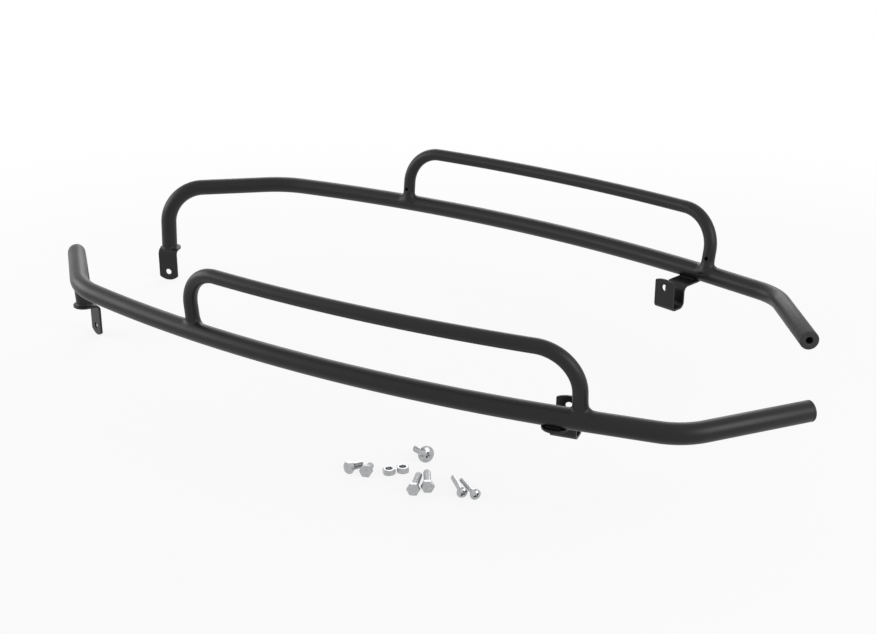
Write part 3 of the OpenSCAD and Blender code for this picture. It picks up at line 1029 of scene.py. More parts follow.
@dataclass
class WeldBeads(BarPart):
    """The weld beads of one bar: round the hoop's feet, round the leg's foot and beside the run on the front pad."""

    bead: FilletBead = field(default_factory=FilletBead)
    leg_steps: int = 220
    run_steps: int = 60
    hoop_bead_size: float = 6.2
    hoop_bead_span: Flat = (-62.0, 84.0)
    hoop_bead_thicker: float = 0.36
    hoop_bead_uneven: float = 0.05
    hoop_bead_root_in: float = 1.2
    pad_bead: float = 3.0
    foot_bead_rise: float = 82.0
    run_bead_span: Flat = (3.0, 50.0)
    front_half_in: float = 12.0
    front_half_out: float = 8.5

    def hoop_bead(self, end: End) -> Skin:
        """The bead round one of the hoop's feet, which follows the saddle between the tubes.

        Args:
            end: the foot.

        Returns:
            The bead.
        """
        shape = self.shape
        axis = shape.hoop_leg(end).normalized()
        run = shape.run_distance()
        start = shape.hoop_foot(end) + shape.hoop_leg(end) * (shape.main_r * shape.foot_share / shape.hoop_rise)
        forward = (Vector((1, 0, 0)) - axis * axis.x).normalized()
        beside = axis.cross(forward)
        sunk = -1.0
        sections = []
        for a in turns(self.leg_steps):
            out = forward * math.cos(a) + beside * math.sin(a)
            root = start + out * (shape.hoop_r - self.hoop_bead_root_in)
            if run(root) <= sunk:
                root = root + axis * farthest(lambda s: run(root + axis * s) < sunk, 0.0, 2 * shape.main_r, halvings=20)
            # The bead is laid thickest on the inner side, from where the welder reaches in
            share = 1 - self.hoop_bead_thicker * math.sin(a) + self.hoop_bead_uneven * math.sin(3 * a + 1)
            sections.append(Section(root, out, axis, self.hoop_bead_span, self.hoop_bead_size * share))
        return self.bead.lay(sections, run, rod_distance(start, axis, shape.hoop_r), True)

    def foot_bead(self) -> Skin:
        """The bead round the foot of the rear leg, on the rear bracket's pad, which follows the pad over its fold.

        Returns:
            The bead.
        """
        shape = self.shape
        foot = Vector(shape.main_corners[0])
        axis = (Vector(shape.main_corners[1]) - foot).normalized()
        fold_r = shape.rear_fold + shape.plate
        fold_from = shape.rear_reach - fold_r
        inside, below, start_below, nearly = 0.8, 0.6, 3.0, 0.98
        toe = shape.main_r + self.pad_bead

        def pad(p: Vector) -> float:
            """Distance from the pad and its fold."""
            past = (p - foot).dot(shape.rear_ahead()) - fold_from
            rise = p.z - shape.foot_up
            return rise if past <= 0 else math.hypot(past, rise + fold_r) - fold_r

        sections = []
        for a in turns(self.leg_steps):
            out = Vector((math.cos(a), math.sin(a), 0))
            past = min(max(toe * out.dot(shape.rear_ahead()) - fold_from, 0.0), nearly * fold_r)
            down = fold_r - math.sqrt(fold_r**2 - past**2)
            low = math.degrees(math.atan2(below - down, toe - shape.main_r + inside))
            root = foot + out * (shape.main_r - inside) + Vector((0, 0, -below))
            sections.append(Section(root, out, UP, (low, self.foot_bead_rise), self.pad_bead))
        return self.bead.lay(sections, pad, rod_distance(foot - axis * start_below, axis, shape.main_r), True)

    def run_bead(self, hand: int, half: float) -> Skin:
        """One bead beside the run on the front bracket's pad.

        Args:
            hand: 1 for the outer side of the run, -1 for the inner side.
            half: half the bead's length.

        Returns:
            The bead.
        """
        shape = self.shape
        at, out = shape.front_seat()
        along, away = Vector((out.y, -out.x, 0)), out * hand
        sunk, aside, thinnest, fullness = 0.5, 2.0, 0.12, 6
        sections = []
        for k in range(self.run_steps + 1):
            s = 2 * k / self.run_steps - 1
            base = at + along * (half * s)
            middle = Vector((base.x, shape.run_out(base.x), shape.front_pad_top - sunk))
            size = self.pad_bead * max(thinnest, math.sqrt(max(0.0, 1 - s**fullness)))
            sections.append(Section(middle + away * aside, away, UP, self.run_bead_span, size))
        return self.bead.lay(sections, lambda p: p.z - shape.front_pad_top, shape.run_distance(), False)

    def build(self) -> None:
        """Builds all the beads."""
        for end in End:
            self.add(self.hoop_bead(end), f"{end.value}_hoop_bead", f"{end.value}_hoop_weld", 60)
        self.add(self.foot_bead(), "leg_foot_bead", "rear_bracket_weld", 60)
        self.add(self.run_bead(1, self.front_half_out), "run_bead_outer", "front_bracket_weld", 60)
        self.add(self.run_bead(-1, self.front_half_in), "run_bead_inner", "front_bracket_weld", 60)


# Folded plate


@dataclass(frozen=True)
class FoldPath:
    """The middle line of a folded plate, seen along its width: straights that end in quarter folds.

    Each run holds the straight's length, the fold's middle radius and its turn in degrees.
    """

    start: Flat
    heading: float
    runs: tuple[tuple[float, float, float], ...]

    def at(self, along: float) -> tuple[float, float, float]:
        """Follows the line.

        Args:
            along: a length along the plate.

        Returns:
            The two coordinates there and the heading in radians.
        """
        y, z = self.start
        heading = math.radians(self.heading)
        left = along
        for straight, radius, turn in self.runs:
            step = min(left, straight)
            y += step * math.cos(heading)
            z += step * math.sin(heading)
            left -= step
            if left <= 0:
                break
            swing = math.radians(turn)
            hand = math.copysign(radius, swing)
            part = min(1.0, left / (radius * abs(swing)))
            y -= hand * math.sin(heading)
            z += hand * math.cos(heading)
            heading += swing * part
            y += hand * math.sin(heading)
            z -= hand * math.cos(heading)
            left = max(0.0, left - radius * abs(swing))
        return y + max(left, 0.0) * math.cos(heading), z + max(left, 0.0) * math.sin(heading), heading

    def creases(self, steps: int) -> list[float]:
        """Finds where the folds are divided.

        Args:
            steps: parts of each fold.

        Returns:
            The lengths along the plate.
        """
        found, reached = [], 0.0
        for straight, radius, turn in self.runs:
            reached += straight
            arc = radius * abs(math.radians(turn))
            found += [reached + arc * i / steps for i in range(steps + 1)]
            reached += arc
        return found

    def length(self) -> float:
        """Length from the start to the end of the last fold."""
        return sum(straight + radius * abs(math.radians(turn)) for straight, radius, turn in self.runs)


@dataclass(frozen=True)
class Blank:
    """A bracket's flat blank, as the laser cuts it, with a bolt hole.

    The outline runs across the width and along the plate. The powder rounds every cut edge.
    """

    outline: Sequence[Flat]
    hole_at: Flat
    plate: float
    hole_d: float = 8.5
    edge: float = 0.6
    hole_steps: int = 48
    fold_steps: int = 14

    def rims(self, work: bmesh.types.BMesh, loop: Sequence[Vector]) -> list[list[bmesh.types.BMVert]]:
        """Builds the wall under one cut edge, rounded at both faces.

        Args:
            work: the mesh that takes the wall.
            loop: the cut edge, with the metal on its left.

        Returns:
            The rings of points, from the lower face to the upper face.
        """
        count, sharpest = len(loop), 0.5
        inward = []
        for k in range(count):
            before = (loop[k] - loop[k - 1]).normalized()
            after = (loop[(k + 1) % count] - loop[k]).normalized()
            normal = (before + after).normalized()
            inward.append(Vector((-normal.y, normal.x, 0)) * (1 / max(sharpest, normal.dot(after))))
        level = self.plate / 2 - self.edge
        section = []
        for degrees in (-90, -60, -30, 0):
            a = math.radians(degrees)
            section.append((self.edge * (1 - math.cos(a)), -level + self.edge * math.sin(a)))
        section += [(inset, -height) for inset, height in reversed(section)]
        rings = []
        for inset, height in section:
            rings.append([work.verts.new(loop[k] + inward[k] * inset + Vector((0, 0, height))) for k in range(count)])
        for low, high in zip(rings, rings[1:]):
            for k in range(count):
                work.faces.new((low[k], low[(k + 1) % count], high[(k + 1) % count], high[k]))
        return rings

    def folded(self, path: FoldPath) -> Skin:
        """Cuts the blank and folds it.

        Args:
            path: where the plate's middle runs.

        Returns:
            The folded plate, with its width along X.
        """
        work = bmesh.new()
        outer = self.rims(work, [Vector((x, y, 0)) for x, y in self.outline])
        r, (x, y) = self.hole_d / 2, self.hole_at
        inner = self.rims(work, [Vector((x + r * math.cos(a), y - r * math.sin(a), 0)) for a in turns(self.hole_steps)])
        for side in (0, -1):
            edges = []
            for ring in (outer[side], inner[side]):
                edges += [work.edges.get((ring[k - 1], ring[k])) for k in range(len(ring))]
            bmesh.ops.triangle_fill(work, edges=edges, use_beauty=True)
        for crease in path.creases(self.fold_steps):
            parts = work.verts[:] + work.edges[:] + work.faces[:]
            bmesh.ops.bisect_plane(work, geom=parts, plane_co=(0, crease, 0), plane_no=(0, 1, 0), dist=0.0005)
        work.verts.index_update()
        skin = Skin()
        for vert in work.verts:
            y, z, heading = path.at(vert.co.y)
            lift = vert.co.z
            skin.points.append(Vector((vert.co.x, y - lift * math.sin(heading), z + lift * math.cos(heading))))
        skin.faces = [tuple(v.index for v in face.verts) for face in work.faces]
        work.free()
        return skin


def arc_points(centre: Flat, radius: float, start: float, end: float, steps: int) -> list[Flat]:
    """Points along an arc from one angle to another, in degrees."""
    angles = [math.radians(start + (end - start) * i / steps) for i in range(steps + 1)]
    return [(centre[0] + radius * math.cos(a), centre[1] + radius * math.sin(a)) for a in angles]


def tab_end(middle: float, width: float, tip: float, arc: float) -> list[Flat]:
    """Draws the rounded end of a tab, from its right side to its left side.

    Args:
        middle: the tab's middle across the plate.
        width: the tab's width.
        tip: length along the plate at which the tab ends.
        arc: drop of the tab's corners below its tip.

    Returns:
        The end's points.
    """
    corner, corner_steps, crown_steps = 1.2, 6, 28
    half = width / 2
    crown = (half * half + arc * arc) / (2 * arc)
    base = tip - crown
    up = base + math.sqrt((crown - corner) ** 2 - (half - corner) ** 2)
    lean = math.degrees(math.atan2(up - base, half - corner))
    right = arc_points((middle + half - corner, up), corner, 0, lean, corner_steps)
    top = arc_points((middle, base), crown, lean, 180 - lean, crown_steps)
    left = arc_points((middle - half + corner, up), corner, 180 - lean, 180, corner_steps)
    return right + top[1:-1] + left


def touch(centre: Flat, radius: float, point: Flat, hand: int) -> float:
    """Angle in degrees at which a line from a point touches a circle, on the left (1) or the right (-1) of its aim."""
    x, y = point[0] - centre[0], point[1] - centre[1]
    return math.degrees(math.atan2(y, x)) + hand * math.degrees(math.acos(min(1.0, radius / math.hypot(x, y))))


@dataclass
class FoldedBrackets(BarPart):
    """The two folded plate brackets of one bar, cut flat, rounded and folded as the real ones are."""

    width: float = 28.0
    rear_shift: float = -2.0
    rear_arc: float = 5.5
    rear_hole_up: float = 12.5
    rear_pad_at: Flat = (-1.0, -0.5)
    rear_pad_r: float = 15.0
    front_pad_in: float = 1.5
    strap_in: float = 29.5
    tab_in: float = 53.5
    hook_bottom: float = 94.0
    front_fold: float = 6.0
    hook_outer: float = 5.0
    hook_inner: float = 3.5
    front_arc: float = 3.0
    front_crown: float = 133.5
    front_hole: float = 122.5

    def rear(self) -> Skin:
        """The rear bracket, in its own frame: a round pad under the leg, folded down into a tab.

        Returns:
            Its skin.
        """
        plate, fold = self.shape.plate, self.shape.rear_fold
        fold_from = self.shape.rear_reach - fold - plate
        path = FoldPath((0.0, -plate / 2), 0.0, ((fold_from, fold + plate / 2, -90.0),))
        tip = path.length() + self.shape.foot_up - fold - plate
        low, high = ((self.rear_shift + hand * self.width / 2, fold_from) for hand in (-1, 1))
        start = touch(self.rear_pad_at, self.rear_pad_r, low, 1)
        end = touch(self.rear_pad_at, self.rear_pad_r, high, -1) + 360
        pad = arc_points(self.rear_pad_at, self.rear_pad_r, start, end, steps=60)
        outline = pad + [high] + tab_end(self.rear_shift, self.width, tip, self.rear_arc) + [low]
        return Blank(outline, (self.rear_shift, tip - self.rear_hole_up), plate).folded(path)

    def front(self) -> Skin:
        """The front bracket, in its own frame: a pad under the run, a strap, and a hook that ends in a tab.

        Returns:
            Its skin.
        """
        plate = self.shape.plate
        middle = plate / 2
        level = self.shape.front_pad_top - middle
        strap_to = level - self.front_fold - middle - (self.hook_bottom + plate + self.hook_outer)
        floor = (self.tab_in - plate - self.hook_inner) - (self.strap_in + plate + self.hook_outer)
        runs = (
            (self.strap_in - self.front_fold, self.front_fold + middle, 90.0),
            (strap_to, self.hook_outer + middle, -90.0),
            (floor, self.hook_inner + middle, -90.0),
        )
        path = FoldPath((0.0, level), 180.0, runs)
        tip = path.length() + self.front_crown - (self.hook_bottom + plate + self.hook_inner)
        outline = arc_points((0.0, self.front_pad_in), self.width / 2, 180, 360, steps=40)
        outline += tab_end(0.0, self.width, tip, self.front_arc)
        return Blank(outline, (0.0, tip - (self.front_crown - self.front_hole)), plate).folded(path)

    def build(self) -> None:
        """Builds both brackets, with their flat faces shaded flat."""
        rear = (Vector(self.shape.main_corners[0]), self.shape.rear_ahead())
        made = (("rear_bracket", *rear, self.rear()), ("front_bracket", *self.shape.front_seat(), self.front()))
        for node, origin, ahead, skin in made:
            across = Vector((ahead.y, -ahead.x, 0))
            skin.points = [origin + across * p.x + ahead * p.y + Vector((0, 0, p.z)) for p in skin.points]
            even = self.add(skin, f"folded_{node}", node, 40).modifiers.new("flat_faces", "WEIGHTED_NORMAL")
            even.keep_sharp = True
            even.weight = 90


@dataclass
class EndPlug(BarPart):
    """The plastic plug in the front end of one bar."""

    flange: float = 2.5
    chamfer: float = 1.0
    length: float = 16.0
    hole_d: float = 8.0
    gap: float = 0.1
    groove: float = 1.0
    nose: float = 1.0
    hole_rim: tuple[Flat, ...] = ((0.0, -0.9), (0.12, -0.45), (0.45, -0.12), (0.9, 0.0))
    face_step: tuple[Flat, ...] = ((-3.1, 0.0), (-2.9, -0.12))
    flange_back: tuple[Flat, ...] = ((0.0, 0.55), (-0.3, 0.3), (-0.3, 0.02))
    steps: int = 72

    def profile(self) -> list[Flat]:
        """Draws the plug's section: rounded hole rim, rounded flange, ringed core.

        Returns:
            Radius and height of each corner.
        """
        outer = self.shape.main_r
        core = outer - self.shape.main_wall - self.gap
        hole = self.hole_d / 2
        top = self.flange
        corners = [(hole + out, top + up) for out, up in self.hole_rim]
        # A shallow step in the face, from the mould's core
        corners += [(outer + out, top + up) for out, up in self.face_step]
        for angle in range(90, -1, -15):
            a = math.radians(angle)
            corners.append((outer - self.chamfer + self.chamfer * math.cos(a), top - self.chamfer * (1 - math.sin(a))))
        corners += [(outer + out, up) for out, up in self.flange_back] + [(core, self.flange_back[-1][1])]
        ring = self.length / 5
        for i in (0, 1):
            high, low = -ring * (2 * i + 1), -ring * (2 * i + 2)
            corners += [(core, high), (core - self.groove, high), (core - self.groove, low), (core, low)]
        return corners + [(core, self.nose - self.length), (core - self.nose, -self.length), (hole, -self.length)]

    def build(self) -> None:
        """Builds and dresses the plug."""
        tip = Vector(self.shape.main_corners[5])
        along = (tip - Vector(self.shape.main_corners[4])).normalized()
        across = along.cross(UP).normalized()
        up = across.cross(along)
        body = turned(self.profile(), self.steps)
        body.points = [tip + across * p.x + up * p.y + along * p.z for p in body.points]
        plug = body.piece(f"{self.side.value}_ringed_end_plug", self.place(), 28)
        dress(plug, self.finishes.plastic, Slot.PLASTIC, f"{self.side.value}_end_plug")


# Fasteners


@dataclass(frozen=True)
class Thread:
    """A coarse metric thread."""

    diameter: float
    pitch: float
    flank: float = 0.61
    neck: float = 0.35
    point: float = 0.12
    point_slope: float = 1.1
    steps: int = 48

    def depth(self) -> float:
        """Height of the thread's flank."""
        return self.flank * self.pitch

    def rings(self, skin: Skin, start: float, end: float, limit: Callable[[float, float], float]) -> list[list[int]]:
        """Cuts the thread along Z.

        Args:
            skin: takes the points and faces.
            start: height of the first turn.
            end: height of the last turn.
            limit: takes a height and the thread's radius there to the radius that the ends allow.

        Returns:
            The first and the last ring of points.
        """
        crest, root = self.diameter / 2, self.diameter / 2 - self.depth()
        # Shares of a turn and the radius there
        section = [(0.0, root), (0.14, root), (0.46, crest), (0.58, crest), (0.9, root)]
        rows = []
        for turn in range(-1, math.ceil((end - start) / self.pitch) + 1):
            for share, radius in section:
                points = []
                for i in range(self.steps + 1):
                    height = start + self.pitch * (turn + share + i / self.steps)
                    held = min(max(height, start), end)
                    r = limit(held, radius)
                    a = 2 * math.pi * i / self.steps
                    points.append(Vector((r * math.cos(a), r * math.sin(a), held)))
                rows.append(skin.ring(points))
        for low, high in zip(rows, rows[1:]):
            skin.faces += [(low[i], low[i + 1], high[i + 1], high[i]) for i in range(self.steps)]
        return [rows[0], rows[-1]]

    def shank(self, skin: Skin, plain: float, length: float) -> None:
        """Adds a shank along Z: a short plain neck, then the thread, with a chamfered point.

        Args:
            skin: takes the points and faces.
            plain: length of the neck.
            length: length under the head.
        """
        inside = -0.4
        crest, root = self.diameter / 2, self.diameter / 2 - self.depth()
        point_from = length - self.point * self.diameter

        def limit(height: float, radius: float) -> float:
            """Keeps the thread within the neck and the point."""
            fade = min(1.0, max(0.0, (height - plain) / self.pitch))
            body = root + (radius - root) * fade if height - plain < self.pitch else radius
            return min(body, crest - max(0.0, height - point_from) * self.point_slope)

        first, last = self.rings(skin, plain, length, limit)
        skin.fan(last[:-1], Vector((0, 0, length)))
        neck = [skin.disc(crest - self.depth() * self.neck, z, self.steps) for z in (inside, plain)]
        skin.stack([*neck, first[:-1]])
        skin.fan(neck[0], Vector((0, 0, inside)))


M8 = Thread(8.0, 1.25)
M6 = Thread(6.0, 1.0)


def hexagon(flats: float, angle: float) -> float:
    """Radius of a hexagon, with flats across X, at an angle in radians."""
    sixth = math.pi / 3
    return flats / 2 / math.cos((angle + sixth / 2) % sixth - sixth / 2)


def lying(head_d: float, shank_d: float, length: float) -> Flat:
    """Height and tilt in degrees with which a screw lies on the floor, on its head's rim and its point."""
    sink = math.degrees(math.atan((head_d - shank_d) / 2 / length))
    return head_d / 2 * math.cos(math.radians(sink)), 90 + sink


@dataclass(frozen=True)
class HexBolt:
    """A fully threaded hexagon bolt, lying on the floor."""

    name: str
    length: float
    at: Flat
    turn: float
    flats: float = 13.0
    head: float = 5.3
    face_share: float = 0.46
    face_rings: tuple[Flat, ...] = ((0.5, 0.14), (0.86, 0.1), (0.93, 0.01), (1.0, 0.02))
    chamfer_slope: float = 1.8
    under_rim: tuple[Flat, ...] = ((0.0, -0.35), (-0.3, -0.05))
    under_flat: float = 0.6
    neck: float = 1.2
    wear: float = 0.22
    steps: int = 96
    thread: Thread = M8

    def build(self, layout: Layout) -> list[Piece]:
        """Builds the bolt, with its forged head.

        Args:
            layout: the set's places on the floor.

        Returns:
            The bolt.
        """
        skin = Skin()
        n, top = self.steps, -self.head
        face = self.flats * self.face_share
        edge = [hexagon(self.flats, a) for a in turns(n)]
        # The forged face is a little hollow inside its rim
        rings = [skin.disc(face * r, top + z, n) for r, z in self.face_rings]
        rings.append(skin.wheel(edge, [top + (e - face) / self.chamfer_slope for e in edge]))
        rings += [skin.wheel([e + out for e in edge], [z] * n) for out, z in self.under_rim]
        rings.append(skin.disc(self.thread.diameter / 2 + self.under_flat, 0.0, n))
        skin.stack(rings)
        skin.fan(rings[0], Vector((0, 0, top + self.face_rings[0][1])))
        skin.fan(rings[-1], Vector((0, 0, 0)))
        self.thread.shank(skin, self.neck, self.length)
        lie = lying(self.flats, self.thread.diameter, self.length)
        bolt = skin.piece(self.name, layout.loose(self.at, self.turn, *lie), 24)
        # Tumbling in the plating barrel wears the edges round
        soft = bolt.modifiers.new("worn_edges", "BEVEL")
        soft.width = self.wear * MM
        soft.segments = 2
        soft.limit_method = "ANGLE"
        soft.angle_limit = math.radians(45)
        soft.harden_normals = True
        return [bolt]


@dataclass(frozen=True)
class CrossScrew:
    """A screw with a domed head and a cross recess, lying on the floor."""

    name: str
    head_d: float
    head_h: float
    length: float
    at: Flat
    turn: float
    thread: Thread
    recess_turn: float
    recess_share: float = 0.31
    recess_most: float = 4.0
    recess_arm: float = 0.25
    recess_depth: Flat = (0.72, 2.9)
    recess_top: Flat = (1.12, 1.15)
    recess_floor: Flat = (0.5, 0.7)
    rim_share: float = 0.35
    rim: tuple[Flat, ...] = ((0.0, -0.45), (-0.12, -0.15), (-0.4, 0.0))
    neck: float = 0.8
    dome_steps: int = 12
    steps: int = 72

    def recess(self, turn: float, place: Place) -> Piece:
        """Makes a cutter for one arm of the cross, which narrows towards its floor.

        Args:
            turn: the arm's heading on the head, in degrees.
            place: the screw's mapping to the scene.

        Returns:
            The cutter.
        """
        h = self.head_h
        reach = min(self.head_d * self.recess_share, self.recess_most)
        half = reach * self.recess_arm
        a = math.radians(turn)
        skin = Skin()
        top, floor = -h - 1.0, -h + min(h * self.recess_depth[0], self.recess_depth[1])
        for z, (long, wide) in ((top, self.recess_top), (floor, self.recess_floor)):
            corners = [(reach * long * u, half * wide * v) for u, v in ((-1, -1), (1, -1), (1, 1), (-1, 1))]
            spun = [(x * math.cos(a) - y * math.sin(a), x * math.sin(a) + y * math.cos(a)) for x, y in corners]
            skin.ring([Vector((x, y, z)) for x, y in spun])
        skin.bridge((0, 1, 2, 3), (4, 5, 6, 7))
        skin.faces += [(0, 1, 2, 3), (4, 5, 6, 7)]
        return skin.piece("recess_cutter", place)

    def build(self, layout: Layout) -> list[Piece]:
        """Builds the screw.

        Args:
            layout: the set's places on the floor.

        Returns:
            The shank and the head.
        """
        d, h, shank_r = self.head_d, self.head_h, self.thread.diameter / 2
        rim = h * self.rim_share
        dome = (d * d / 4 + (h - rim) ** 2) / (2 * (h - rim))
        profile = []
        for i in range(1, self.dome_steps + 1):
            r = d / 2 * math.sin(math.pi / 2 * i / self.dome_steps)
            profile.append((r, -h + dome - math.sqrt(dome**2 - r * r)))
        profile += [(d / 2 + out, z) for out, z in self.rim] + [(shank_r, 0.0)]
        skin = Skin()
        rings = [skin.disc(r, z, self.steps) for r, z in profile]
        skin.stack(rings)
        skin.fan(rings[0], Vector((0, 0, -h)))
        skin.fan(rings[-1], Vector((0, 0, 0)))
        place = layout.loose(self.at, self.turn, *lying(d, self.thread.diameter, self.length))
        head = skin.piece(self.name, place, 40)
        cut(head, [self.recess(self.recess_turn + t, place) for t in (0, 90)], 30)
        stem = Skin()
        self.thread.shank(stem, self.neck, self.length)
        return [stem.piece(f"{self.name}_shank", place, 24), head]


@dataclass(frozen=True)
class HexNut:
    """A chamfered hexagon nut, lying flat."""

    name: str
    at: Flat
    turn: float
    flats: float = 13.0
    height: float = 6.5
    chamfer_slope: float = 1.8
    chamfer_share: float = 0.06
    chamfer_rise: float = 0.5556
    sink_share: float = 0.42
    sink_out: float = 0.8
    sink_rim: float = 0.15
    clearance: float = 0.5
    steps: int = 48
    thread: Thread = M8

    def build(self, layout: Layout) -> list[Piece]:
        """Builds the nut, threaded and countersunk.

        Args:
            layout: the set's places on the floor.

        Returns:
            The nut.
        """
        skin = Skin()
        n, h = self.steps, self.height
        edge = [hexagon(self.flats, a + math.pi / 6) for a in turns(n)]
        face = self.flats / 2 / math.cos(math.pi / 6) - self.chamfer_slope * self.flats * self.chamfer_share
        drop = [(e - face) * self.chamfer_rise for e in edge]
        sunk = self.thread.diameter * self.sink_share + self.sink_out
        flat_r = sunk + self.sink_rim

        def limit(height: float, radius: float) -> float:
            """Keeps the thread outside the countersinks."""
            inner = self.thread.diameter - radius - self.thread.depth() * self.clearance
            return max(inner, sunk - min(height, h - height))

        first, last = self.thread.rings(skin, 0.0, h, limit)
        bottom = [skin.disc(flat_r, 0.0, n), skin.disc(face, 0.0, n), skin.wheel(edge, drop)]
        top = [skin.wheel(edge, [h - z for z in drop]), skin.disc(face, h, n), skin.disc(flat_r, h, n)]
        skin.stack([first[:-1], *bottom, *top, last[:-1]])
        return [skin.piece(self.name, layout.loose(self.at, self.turn), 24)]


@dataclass
class LooseFasteners:
    """The bolts, nuts and screws that lie in front of the bars, each with the CAD node that it stands for."""

    layout: Layout
    members: tuple[tuple[str, HexBolt | HexNut | CrossScrew], ...] = (
        ("long_bolts", HexBolt("long_hex_bolt_1", 35.0, (611.0, 236.5), 115.0)),
        ("long_bolts", HexBolt("long_hex_bolt_2", 35.0, (620.0, 223.0), 125.0)),
        ("short_bolts", HexBolt("short_hex_bolt_1", 16.0, (526.0, 234.5), 75.0)),
        ("short_bolts", HexBolt("short_hex_bolt_2", 16.0, (545.0, 231.0), 110.0)),
        ("nuts", HexNut("hex_nut_1", (563.0, 214.0), 20.0)),
        ("nuts", HexNut("hex_nut_2", (573.0, 202.0), 8.0)),
        ("wide_screw", CrossScrew("wide_head_screw", 19.0, 5.0, 27.0, (580.5, 168.0), 149.0, M8, 20.0)),
        ("slim_screws", CrossScrew("slim_screw_1", 12.0, 4.0, 40.0, (658.0, 214.5), 136.0, M6, 30.0)),
        ("slim_screws", CrossScrew("slim_screw_2", 12.0, 4.0, 40.0, (672.0, 210.5), 143.0, M6, 55.0)),
    )

    def build(self, finishes: Finishes) -> None:
        """Builds and dresses every loose fastener.

        Args:
            finishes: the object's finishes.
        """
        for node, member in self.members:
            for made in member.build(self.layout):
                dress(made, finishes.zinc, Slot.ZINC, node)


# Studio


@dataclass(frozen=True)
class SoftBox:
    """A soft box that faces the object, in metres and watts."""

    name: str
    at: tuple[float, float, float]
    size: Flat
    power: float

    def build(self) -> None:
        """Hangs the lamp."""
        data = bpy.data.lights.new(self.name, "AREA")
        data.shape = "RECTANGLE"
        data.size, data.size_y = self.size
        data.energy = self.power
        lamp = bpy.data.objects.new(self.name, data)
        lamp.location = self.at
        lamp.rotation_euler = (-Vector(self.at)).to_track_quat("-Z", "Y").to_euler()
        bpy.context.scene.collection.objects.link(lamp)


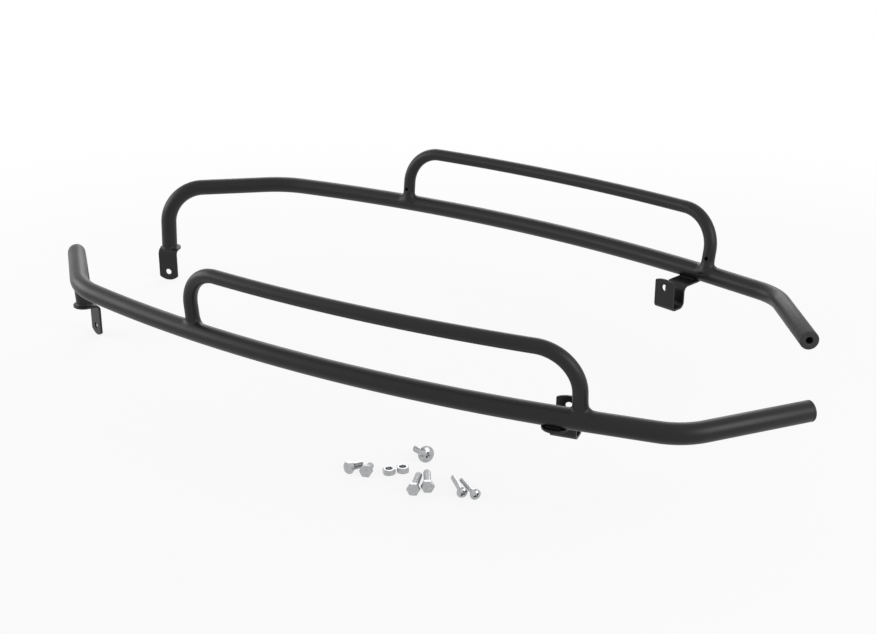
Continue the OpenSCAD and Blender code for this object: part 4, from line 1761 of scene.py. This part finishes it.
@dataclass
class Studio:
    """The pale floor, the soft lights and the camera."""

    camera_at: tuple[float, float, float] = (0.9410, -1.3899, 0.7667)
    azimuth: float = 33.243
    elevation: float = 21.962
    roll: float = 0.162
    lens_mm: float = 60.68
    floor_colour: str = "#f6f6f6"
    floor_half: float = 6.0
    room_light: float = 0.45
    lamps: tuple[SoftBox, ...] = (
        SoftBox("left_soft_box", (-1.9, -0.8, 0.72), (1.8, 0.9), 17.0),
        SoftBox("right_soft_box", (2.1, -0.15, 1.1), (1.2, 1.2), 18.0),
        SoftBox("back_soft_box", (-0.8, 1.5, 0.75), (1.6, 0.8), 8.0),
    )

    def seen(self, tree: Tree) -> Socket:
        """Adds the test for rays that show the background, to the eye, in metal or through glass.

        Args:
            tree: the node tree that takes it.

        Returns:
            A socket that is 1 for such rays.
        """
        path = add_node(tree, "ShaderNodeLightPath")
        found = path.outputs["Is Camera Ray"]
        for other in ("Is Glossy Ray", "Is Transmission Ray"):
            links = {"0": found, "1": path.outputs[other]}
            found = add_node(tree, "ShaderNodeMath", {"operation": "MAXIMUM"}, links).outputs[0]
        return found

    def world(self) -> None:
        """Sets the plain light of the room, and the white that the camera sees behind the floor."""
        world = bpy.data.worlds.new("white_studio")
        world.use_nodes = True
        tree = world.node_tree
        tree.nodes.clear()
        white = linear("#ffffff")
        room = add_node(tree, "ShaderNodeBackground", {"Color": white, "Strength": self.room_light})
        behind = add_node(tree, "ShaderNodeBackground", {"Color": white, "Strength": 1.0})
        links = {"0": self.seen(tree), "1": room.outputs[0], "2": behind.outputs[0]}
        mixed = add_node(tree, "ShaderNodeMixShader", links=links)
        add_node(tree, "ShaderNodeOutputWorld", links={"Surface": mixed.outputs[0]})
        bpy.context.scene.world = world

    def floor(self) -> None:
        """Lays a matt white floor that keeps the shadows near the bars and turns to plain white further out."""
        mesh = bpy.data.meshes.new("studio_floor")
        h = self.floor_half
        mesh.from_pydata([(-h, -h, 0), (h, -h, 0), (h, h, 0), (-h, h, 0)], [], [(0, 1, 2, 3)])
        floor = bpy.data.objects.new("studio_floor", mesh)
        bpy.context.scene.collection.objects.link(floor)
        made = bpy.data.materials.new("matt_white_floor_paint")
        made.use_nodes = True
        tree = made.node_tree
        tree.nodes.clear()
        paint = add_node(tree, "ShaderNodeBsdfDiffuse", {"Color": linear(self.floor_colour)})
        glow = add_node(tree, "ShaderNodeEmission", {"Color": linear("#ffffff"), "Strength": 1.0})
        where = add_node(tree, "ShaderNodeTexCoord").outputs["Object"]
        far = add_node(tree, "ShaderNodeVectorMath", {"operation": "LENGTH"}, {"0": where}).outputs["Value"]
        fade = {"interpolation_type": "SMOOTHSTEP", "From Min": 0.6, "From Max": 1.5, "To Min": 0.85, "To Max": 1.0}
        clear = add_node(tree, "ShaderNodeMapRange", fade, {"Value": far}).outputs["Result"]
        share = add_node(tree, "ShaderNodeMath", {"operation": "MULTIPLY"}, {"0": self.seen(tree), "1": clear})
        links = {"0": share.outputs[0], "1": paint.outputs[0], "2": glow.outputs[0]}
        mixed = add_node(tree, "ShaderNodeMixShader", links=links)
        add_node(tree, "ShaderNodeOutputMaterial", links={"Surface": mixed.outputs[0]})
        mesh.materials.append(made)

    def camera(self) -> None:
        """Sets up the camera that took the photograph."""
        data = bpy.data.cameras.new("studio_camera")
        data.lens = self.lens_mm
        data.sensor_width = 36.0
        camera = bpy.data.objects.new("studio_camera", data)
        camera.matrix_world = Matrix.Translation(self.camera_at)
        for degrees, axis in ((self.azimuth, "Z"), (90 - self.elevation, "X"), (self.roll, "Z")):
            camera.matrix_world @= Matrix.Rotation(math.radians(degrees), 4, axis)
        bpy.context.scene.collection.objects.link(camera)
        bpy.context.scene.camera = camera

    def build(self) -> None:
        """Builds the whole studio."""
        bpy.context.scene.view_settings.view_transform = "Standard"
        self.world()
        self.floor()
        for lamp in self.lamps:
            lamp.build()
        self.camera()


def main() -> None:
    """Builds the pair of bars piece by piece."""
    logging.basicConfig(level=logging.INFO, format="%(name)s: %(message)s")
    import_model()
    layout = Layout()
    shape = BarShape()
    finishes = Finishes()
    Studio().build()
    for side in Side:
        for part in (BentTubes, WeldBeads, FoldedBrackets, EndPlug):
            part(side, shape, layout, finishes).build()
        log.info("%s bar built", side.value)
    LooseFasteners(layout).build(finishes)
    bpy.context.view_layer.update()


if __name__ == "__main__":
    main()
